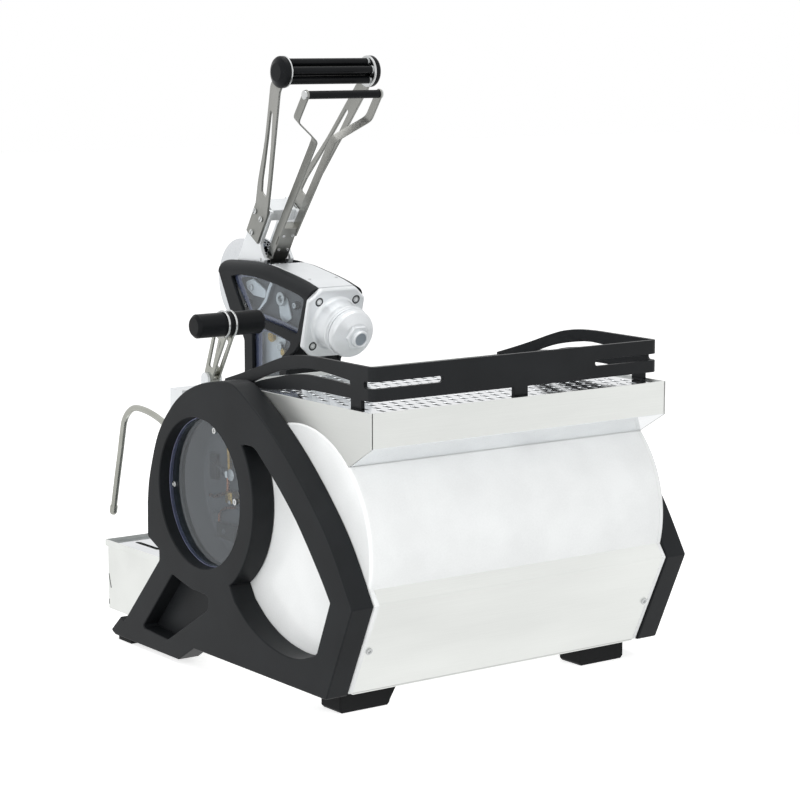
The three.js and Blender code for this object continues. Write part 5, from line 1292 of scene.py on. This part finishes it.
class MACHINE_OT_lever(bpy.types.Operator):
    """Lever arms, the fork that they bolt to, the shaft with its cam and the ratchet wheels"""
    bl_idname = "machine.lever"
    bl_label = "Lever"

    def execute(self, context):
        outline = [
            *curve(arm_spots(ARM_REAR), 4),
            *arc((0, REACH), 13, -20, 220, 24),
            *curve(arm_spots(ARM_FRONT), 4),
        ]
        slot = rounded(arm_spots(ARM_SLOT), [3, 20, 40, 6, 6, 30, 30, 6, 4])
        path = [(80, ARM_INNER), (138, ARM_INNER), (356, ARM_TOP), (400, ARM_TOP)]
        path = rounded(path, 12, closed=False, steps=5)

        def arm():
            flat = plate("x", outline, 0, 4, edge=0.7, steps=2, holes=[slot])
            heads = [
                (facing(screw(4.6, 2.2, slotted=True), "x", (ARM_INNER + 4, v, u)), 1)
                for v, u in ((-12, 126), (8, 125), (-3, 93))
            ]
            return joined(bend_along(flat, 0, 2, path), *heads)

        finish_pair(arm, "ground_arm", "lever", "ground", "satin", replaces=["lever_arm"], place=LEVER)

        cheek = rounded([
            *arc((0, 0), 20, 180, 360, 32), (20, 50), (30, 58), (43, 62), (43, 74), (30, 79), (20, 86), (20, 146),
            (-20, 146),
        ], [0] * 33 + [6, 3, 5, 5, 3, 6, 3, 3])
        shaft = circle((0, 0), 9.3, 32)
        finish(joined(
            *[plate("x", cheek, low, low + 6, edge=0.8, steps=2, holes=[shaft]) for low in (21, -27)],
            (rod("x", 3, -27, 27, TRIGGER, steps=24), 1),
            brick((-27, -15, 126), (27, 15, 146), 1.6, 3),
        ), "fork_casting", "lever", "cast_silver", "satin", replaces=["lever_fork"], slot="cast_black", place=LEVER)

        def wheel():
            tips, roots = around((0, 0), 67, 56), around((0, 0), 63.6, 56, 0.82)
            teeth = [place for pair in zip(tips, roots) for place in pair]
            hub = rounded([
                (9.3, 4.5), (56, 4.5), (56, 12.2), (54, 13.5), (54, 15.7), (67, 15.7), (67, 20.7), (9.3, 20.7),
            ], [0.3, 0.8, 0.3, 0.3, 0.3, 0.8, 1.2, 0.4])
            discs = [
                plate("x", teeth, low, low + 3, edge=0.3, steps=1, holes=[circle((0, 0), 50)]) for low in (4.5, 10.5)
            ]
            return joined(*discs, turned("x", hub, steps=64))

        finish_pair(wheel, "ratchet_disc", "lever", "polished", replaces=["ratchet_wheel"], place=LEVER)
        dress("satin", "pivot_shaft")
        return {"FINISHED"}


class MACHINE_OT_lever_grip(bpy.types.Operator):
    """Grip of black rods between two steel rims, closed by flat-topped domes"""
    bl_idname = "machine.lever_grip"
    bl_label = "Lever grip"

    def execute(self, context):
        satin, black = range(2)
        grip = (0, REACH)
        places = around(grip, 14.2, 5, 0.59)
        parts = [(rod("x", 5.6, -GRIP_HALF, GRIP_HALF, place, 0.3, 28), black) for place in places]
        rim = [(0, GRIP_HALF), (21.8, GRIP_HALF), (23.3, 73.2), (23.3, 75.3), (0, 75.3)]
        rim = rounded(rim, 0.5, closed=False)
        for side in (-1, 1):
            parts.append((turned("x", [(r, d * side) for r, d in rim], grip, 64), satin))
            ends = sorted((side * 70.6, side * 72.4))
            parts += [(rod("x", 6.1, *ends, place, 0.3, 28), satin) for place in places]
        parts.append((rod("x", 6.5, -GRIP_HALF, GRIP_HALF, grip, 0.3), black))
        finish(
            joined(*parts), "grip_rods", "lever", "satin", "grip", replaces=["lever_grip"], slot="grip_black",
            place=LEVER,
        )

        def dome():
            return turned("x", rounded([
                (0, 80.1), (13.3, 80.1), (13.3, 75.6), (23.3, 75.6), (23.3, 81.2), (21.5, 84), (13, 88.4), (0, 88.4),
            ], [0, 0.2, 0.2, 0.4, 2, 4, 2, 0], closed=False), grip, 64)

        finish_pair(dome, "grip_dome", "lever", "grip", replaces=["grip_end"], place=LEVER)
        return {"FINISHED"}


class MACHINE_OT_trigger(bpy.types.Operator):
    """Thin fork behind the lever with the bar that is squeezed to the grip"""
    bl_idname = "machine.trigger"
    bl_label = "Trigger"

    def execute(self, context):
        satin, ground = range(2)
        strap = [(29.5, 117), (44.5, 117), (61.5, 379), *arc(SQUEEZE, 7.5, 0, 180, 16)[1:]]
        path = rounded([(110, 12.5), (297, 15), (334, 63.3), (390, 63.3)], 14, closed=False, steps=6)
        parts = []
        for side in (1, -1):
            bent = bend_along(plate("x", strap, 0, 3, edge=0.5, steps=2), 0, 2, path)
            parts.append((bent if side > 0 else mirrored(bent), ground))
            for radius, near, far, place, edge in ((6.6, 63.4, 68.8, SQUEEZE, 0.8), (6.4, 14, 20, TRIGGER, 0.6)):
                parts.append((rod("x", radius, *sorted((side * near, side * far)), place, edge), satin))
        parts += [
            (rod("x", 7.5, -14, 14, TRIGGER, 0.8), ground),
            (brick((-14, 26.5, 68), (14, 41.5, 82), 2.0, 3), ground),
            (brick((-14, 26.5, 74), (14, 43.5, 132), 1.6, 3), ground),
            (brick((-15.6, 29, 100), (15.6, 41, 126), 1.2, 2), ground),
            *[(facing(screw(2.6, 1.2), "y", (x, 43.4, z)), satin) for x in (-8, 8) for z in (92, 118)],
        ]
        finish(
            joined(*parts), "trigger_straps", "trigger", "satin", "ground", replaces=["trigger_fork"],
            slot="cast_silver", place=LEVER,
        )
        finish(rod("x", 6, -63, 63, SQUEEZE), "squeeze_bar", "trigger", "grip", replaces=["trigger_bar"], place=LEVER)
        return {"FINISHED"}


class MACHINE_OT_steam_lever(bpy.types.Operator):
    """Black steam grip in its two polished hoops on slotted legs"""
    bl_idname = "machine.steam_lever"
    bl_label = "Steam lever"

    def execute(self, context):
        profile = rounded([
            (0, 126), (13.5, 126), (17.5, 130.5), (17.5, 235.5), (13.5, 240), (0, 240),
        ], [0, 2, 2, 2, 2, 0], closed=False)
        finish(
            turned("x", profile, STEAM_GRIP, 64), "steam_grip", "steam_lever", "grip", replaces=["steam_lever_grip"],
        )
        back, up = STEAM_GRIP[0] - STEAM_PIN[0], STEAM_GRIP[1] - STEAM_PIN[1]
        reach = math.hypot(back, up)
        leg = rounded([(-10, 0), (10, 0), (17, reach - 10), (-17, reach - 10)], [8, 8, 1, 1])
        hole = rounded([(-5, 20), (-10, reach - 24), (10, reach - 24), (5, 20)], 3.5)
        parts = []
        for x in (179, 191):
            low, high = x - 1.6, x + 1.6
            parts.append((plate("x", leg, low, high, edge=0.5, steps=2, holes=[hole]), 0))
            parts.append((turned("x", oblong((17.8, low), (20.5, high), 0.7), (0, reach), 64), 1))
        finish(
            joined(*parts, rod("x", 10, 177.4, 192.6, edge=1.0)), "steam_hoops", "steam_lever", "drawn", "satin",
            replaces=["steam_lever_bracket"],
            place=Matrix.Translation((0, *STEAM_PIN)) @ Matrix.Rotation(-math.atan2(back, up), 4, "X"),
        )
        return {"FINISHED"}


class MACHINE_OT_steam_wand(bpy.types.Operator):
    """Steam valve block and the bent polished wand on its ball"""
    bl_idname = "machine.steam_wand"
    bl_label = "Steam wand"

    def execute(self, context):
        dress("cast_silver", "steam_valve")
        x, y, z = WAND_BALL
        path = curve([(x, y - 192 * a, z - 28 * b) for a, b in (
            (0.02, 0.0), (0.228, -0.5), (0.396, -0.746), (0.545, -0.82), (0.645, -0.72), (0.73, -0.36), (0.785, 0.15),
            (0.815, 0.85), (0.855, 1.929), (0.9125, 3.375), (0.972, 4.95),
        )], 8)
        tip, before = Vector(path[-1]), Vector(path[-9])
        turn = Vector((0, 0, 1)).rotation_difference((tip - before).normalized()).to_matrix().to_4x4()
        nozzle = rounded([
            (0, -1), (5.2, -1), (6, 1), (6, 10), (4.2, 14), (0, 14),
        ], [0, 0.6, 0.8, 1, 1, 0], closed=False)
        nozzle = moved(turned("z", nozzle, steps=40), Matrix.Translation(tip) @ turn)
        ball = bmesh.new()
        bmesh.ops.create_uvsphere(
            ball, u_segments=40, v_segments=20, radius=9.5, matrix=Matrix.Translation(WAND_BALL),
        )
        finish(joined(swept(path, 4.8, 28), nozzle, ball), "bent_wand", "wand", "drawn", replaces=["steam_wand"])
        return {"FINISHED"}


class MACHINE_OT_front_controls(bpy.types.Operator):
    """Pressure gauge with its dial, hot-water button and spout, and the main switch"""
    bl_idname = "machine.front_controls"
    bl_label = "Front controls"

    def execute(self, context):
        satin, dial, ink = range(3)
        face = -236.8
        x, z = GAUGE
        rim = rounded([
            (0, -236.3), (25.6, -236.3), (26, -238.3), (30, -238.3), (30, -224.3), (0, -224.3),
        ], [0, 0.2, 0.8, 1.6, 0.5, 0], closed=False)
        parts = [(turned("y", rim, GAUGE, 72), satin), (rod("y", 25.2, -236.9, -236.2, GAUGE, 0.1, 72), dial)]
        for i in range(25):
            long = 5.0 if i % 4 == 0 else 2.6
            tick = moved(brick((-0.35, -0.4, -long), (0.35, 0, 0), 0.05, 1), Matrix.Translation((0, 0, 22.5)))
            angle = math.radians(225 - 270 * i / 24)
            turn = Matrix.Rotation(math.pi / 2 - angle, 4, "Y")
            parts.append((moved(tick, Matrix.Translation((x, face, z)) @ turn), ink))
        needle = plate("y", [(-0.3, 19), (0.3, 19), (0.9, -5), (-0.9, -5)], -237.6, -237.2, edge=0.05, steps=1)
        turn = Matrix.Rotation(math.radians(-128), 4, "Y")
        parts.append((moved(needle, Matrix.Translation((x, 0, z)) @ turn), ink))
        parts.append((rod("y", 2.2, -238.0, face, GAUGE, 0.3, 24), ink))
        finish(
            joined(*parts), "gauge_dial", "machine", "satin", "dial", "ink", replaces=["pressure_gauge"],
            slot="dial_white",
        )
        button = rounded([(0, -231), (7.6, -231), (9, -229.8), (9, -219), (0, -219)], [0, 1, 1, 0.3, 0], closed=False)
        finish(
            turned("y", button, (HOT_WATER, 296)), "push_button", "button", "grip", replaces=["hot_water_button"],
        )
        spigot = curve([(HOT_WATER, -224.3 - 62 * a, 262 - 44 * b) for a, b in (
            (0, 0), (0.5, 0.0), (0.82, 0.08), (0.97, 0.38), (1.0, 1.0),
        )], 6)
        finish(swept(spigot, 7, 28), "bent_spout", "machine", "polished", replaces=["hot_water_spout"])
        knob = joined(
            rod("y", 15, -236.3, -224.3, SWITCH, 1.5, 64), brick((121, -240.3, 175), (129, -226, 205), 1.6, 3),
        )
        finish(knob, "turned_switch", "switch", "grip", replaces=["main_switch"])
        dress("copper", "steam_boiler")
        dress("cast_silver", "pump")
        return {"FINISHED"}


class MACHINE_OT_drip_tray(bpy.types.Operator):
    """Steel drip tray with its rolled lip, and the slotted grate on its ledge"""
    bl_idname = "machine.drip_tray"
    bl_label = "Drip tray"

    def execute(self, context):
        def wall(size, low, high, edge, hole, **how):
            """A frame between two heights, as wide and deep as a size says."""
            half, front, rear = size
            return plate("z", oblong((-half, front), (half, rear), 2), low, high, edge=edge, holes=[hole], **how)

        def within(size):
            half, front, rear = size
            return oblong((2 - half, front + 2), (half - 2, rear - 2), 1.2)

        pan, rim = within(TRAY_PAN), within(TRAY_RIM)
        # Black rubber marks on the tray's sides are painted shade where the keyholes' dark insides would show; no hole
        # is cut
        keyhole_shade_marks = []
        for side in (-1, 1):
            ends = sorted((side * 246.6, side * 247.1))
            for hole in (
                [(-438.4, 78), (-436, 78), (-429.5, 57), (-431.5, 55.5)],
                [(-438.4, 38), (-436.4, 38), (-436.4, 30), (-438.4, 30)],
            ):
                keyhole_shade_marks.append((plate("x", rounded(hole, 0.8, steps=3), *ends, edge=0.05, steps=1), 1))
        finish(
            joined(
                wall(TRAY_PAN, 23, 121.6, 0.5, pan, steps=2),
                brick((-246, -439, 23), (246, -236, 25), 0.5),
                wall(TRAY_RIM, 121, 123, 0.3, pan, steps=1),
                wall(TRAY_RIM, 122.8, 131, 0.6, rim, steps=2),
                *keyhole_shade_marks,
            ),
            "drip_tray_sheet", "drip_tray", "brushed", "rubber", replaces=["drip_tray", "drip_tray_rim"],
        )
        grate = plate(
            "z", oblong((-247.6, -440.6), (247.6, -234.4), 3), 123.3, 126.3, edge=0.6, steps=2,
            holes=slots(2, 15, 30, 84, -379.5, 30.5, 4.5, 6),
        )
        finish(grate, "drip_grate_plate", "drip_grate", "polished", replaces=["drip_grate"])
        return {"FINISHED"}


class MACHINE_OT_stage(bpy.types.Operator):
    """Pale floor, white surround, soft lamps and the camera"""
    bl_idname = "machine.stage"
    bl_label = "Stage"

    def execute(self, context):
        scene = context.scene
        white = (1, 1, 1, 1)
        # The surround is full white where it is seen, mirrored or looked at through glass, and lights with half.
        scene.world = bpy.data.worlds.new("studio")
        tree = bare(scene.world)
        path = add_node(tree, "ShaderNodeLightPath")
        seen = rays(tree, path, "Camera", "Glossy", "Transmission")
        level = add_node(tree, "ShaderNodeMapRange", {"To Min": 0.5, "To Max": 1.0}, {"Value": seen})
        sky = add_node(tree, "ShaderNodeBackground", {"Color": white}, {"Strength": level.outputs[0]})
        add_node(tree, "ShaderNodeOutputWorld", links={"Surface": sky.outputs[0]})

        mesh = bmesh.new()
        bmesh.ops.create_grid(mesh, x_segments=2, y_segments=2, size=14)
        data = bpy.data.meshes.new("floor")
        mesh.to_mesh(data)
        mesh.free()
        floor = bpy.data.objects.new("floor", data)
        scene.collection.objects.link(floor)
        # A pale floor that glows for the camera, so that it runs into the surround and keeps soft shadows.
        pale = bpy.data.materials.new("pale floor")
        tree = bare(pale)
        path = add_node(tree, "ShaderNodeLightPath")
        seen = rays(tree, path, "Camera")
        glow = add_node(tree, "ShaderNodeMapRange", {"To Min": 0.0, "To Max": 0.65}, {"Value": seen})
        paint = add_node(
            tree, "ShaderNodeBsdfPrincipled",
            {"Base Color": linear("#f2f2f2"), "Roughness": 0.9, "Specular IOR Level": 0.1, "Emission Color": white},
            {"Emission Strength": glow.outputs[0]},
        )
        # Mirrored and seen through glass, the floor is one even white, so that metals keep their own tone.
        even = add_node(tree, "ShaderNodeEmission", {"Color": linear("#f4f4f4"), "Strength": 1.14})
        again = rays(tree, path, "Glossy", "Transmission")
        both = add_node(tree, "ShaderNodeMixShader", links={0: again, 1: paint.outputs[0], 2: even.outputs[0]})
        add_node(tree, "ShaderNodeOutputMaterial", links={"Surface": both.outputs[0]})
        data.materials.append(pale)

        def look(made, direction):
            made.rotation_mode = "QUATERNION"
            made.rotation_quaternion = direction.to_track_quat("-Z", "Y")
            scene.collection.objects.link(made)

        for name, place, target, size, power, reflected in (
            ("back softbox", (0.5, 3.3, 1.5), (0, 0.1, 0.3), (2.6, 1.6), 34, False),
            ("side softbox", (3.2, 0.9, 1.0), (0, 0.0, 0.3), (2.0, 1.6), 50, False),
            ("top softbox", (0, -0.2, 3.2), (0, 0, 0.3), (2.4, 2.4), 32, True),
        ):
            light = bpy.data.lights.new(name, "AREA")
            light.shape = "RECTANGLE"
            light.size, light.size_y = size
            light.energy = power
            lamp = bpy.data.objects.new(name, light)
            lamp.location = place
            lamp.visible_glossy = reflected
            look(lamp, Vector(target) - Vector(place))

        back = Vector((
            math.sin(VIEW_ROUND) * math.cos(VIEW_UP), -math.cos(VIEW_ROUND) * math.cos(VIEW_UP), math.sin(VIEW_UP),
        ))
        view = bpy.data.cameras.new("photo camera")
        view.lens = VIEW_LENS
        view.sensor_width = 36
        camera = bpy.data.objects.new("photo camera", view)
        camera.location = Vector(VIEW_TARGET) + back * VIEW_DISTANCE
        look(camera, -back)
        scene.camera = camera
        scene.view_settings.view_transform = "Standard"
        return {"FINISHED"}


class MachineLooks(bpy.types.PropertyGroup):
    """Sizes and colours that a user would change"""
    casting_edge: bpy.props.FloatProperty(
        name="Casting edge", description="Rounding of the side castings' edges", default=0.002, min=0.0005,
        max=0.006, unit="LENGTH", subtype="DISTANCE",
    )
    rail_bend: bpy.props.FloatProperty(
        name="Rail bend", description="Outer radius of the rail's two bends", default=0.010, min=0.007, max=0.02,
        unit="LENGTH", subtype="DISTANCE",
    )
    casting_colour: bpy.props.FloatVectorProperty(
        name="Casting colour", description="Powder coat of the castings, the group and the rail", subtype="COLOR",
        size=3, min=0, max=1, default=linear("#1a1c1e")[:3],
    )
    enamel_colour: bpy.props.FloatVectorProperty(
        name="Enamel colour", description="Enamel of the ends, the back and the front", subtype="COLOR", size=3, min=0,
        max=1, default=linear("#eceeee")[:3],
    )
    sheet_colour: bpy.props.FloatVectorProperty(
        name="Sheet colour", description="Brushed sheet of the trays and the folded panel", subtype="COLOR", size=3,
        min=0, max=1, default=linear("#e9ebe8")[:3],
    )
    silver_colour: bpy.props.FloatVectorProperty(
        name="Silver colour", description="Blasted castings of the spring housing and the lever's fork",
        subtype="COLOR", size=3, min=0, max=1, default=linear("#e6e9eb")[:3],
    )


PIECES = (
    MACHINE_OT_stage,
    MACHINE_OT_side_frames,
    MACHINE_OT_windows,
    MACHINE_OT_body_shell,
    MACHINE_OT_feet,
    MACHINE_OT_cup_tray,
    MACHINE_OT_cup_rail,
    MACHINE_OT_group,
    MACHINE_OT_spring_housing,
    MACHINE_OT_brewing_chamber,
    MACHINE_OT_portafilter,
    MACHINE_OT_lever,
    MACHINE_OT_lever_grip,
    MACHINE_OT_trigger,
    MACHINE_OT_steam_lever,
    MACHINE_OT_steam_wand,
    MACHINE_OT_front_controls,
    MACHINE_OT_drip_tray,
)


class MACHINE_PT_pieces(bpy.types.Panel):
    """Lists the sizes and the pieces of the machine"""
    bl_label = "Lever espresso machine"
    bl_idname = "MACHINE_PT_pieces"
    bl_space_type = "VIEW_3D"
    bl_region_type = "UI"
    bl_category = "Espresso"

    def draw(self, context):
        looks = context.scene.machine_looks
        for name in looks.__annotations__:
            self.layout.prop(looks, name)
        for piece in PIECES:
            self.layout.operator(piece.bl_idname)


CLASSES = (MachineLooks, *PIECES, MACHINE_PT_pieces)


def register():
    for each in CLASSES:
        bpy.utils.register_class(each)
    bpy.types.Scene.machine_looks = bpy.props.PointerProperty(type=MachineLooks)


def unregister():
    del bpy.types.Scene.machine_looks
    for each in reversed(CLASSES):
        bpy.utils.unregister_class(each)


def main():
    register()
    make_materials()
    for piece in PIECES:
        group, name = piece.bl_idname.split(".")
        getattr(getattr(bpy.ops, group), name)()


if __name__ == "__main__":
    main()
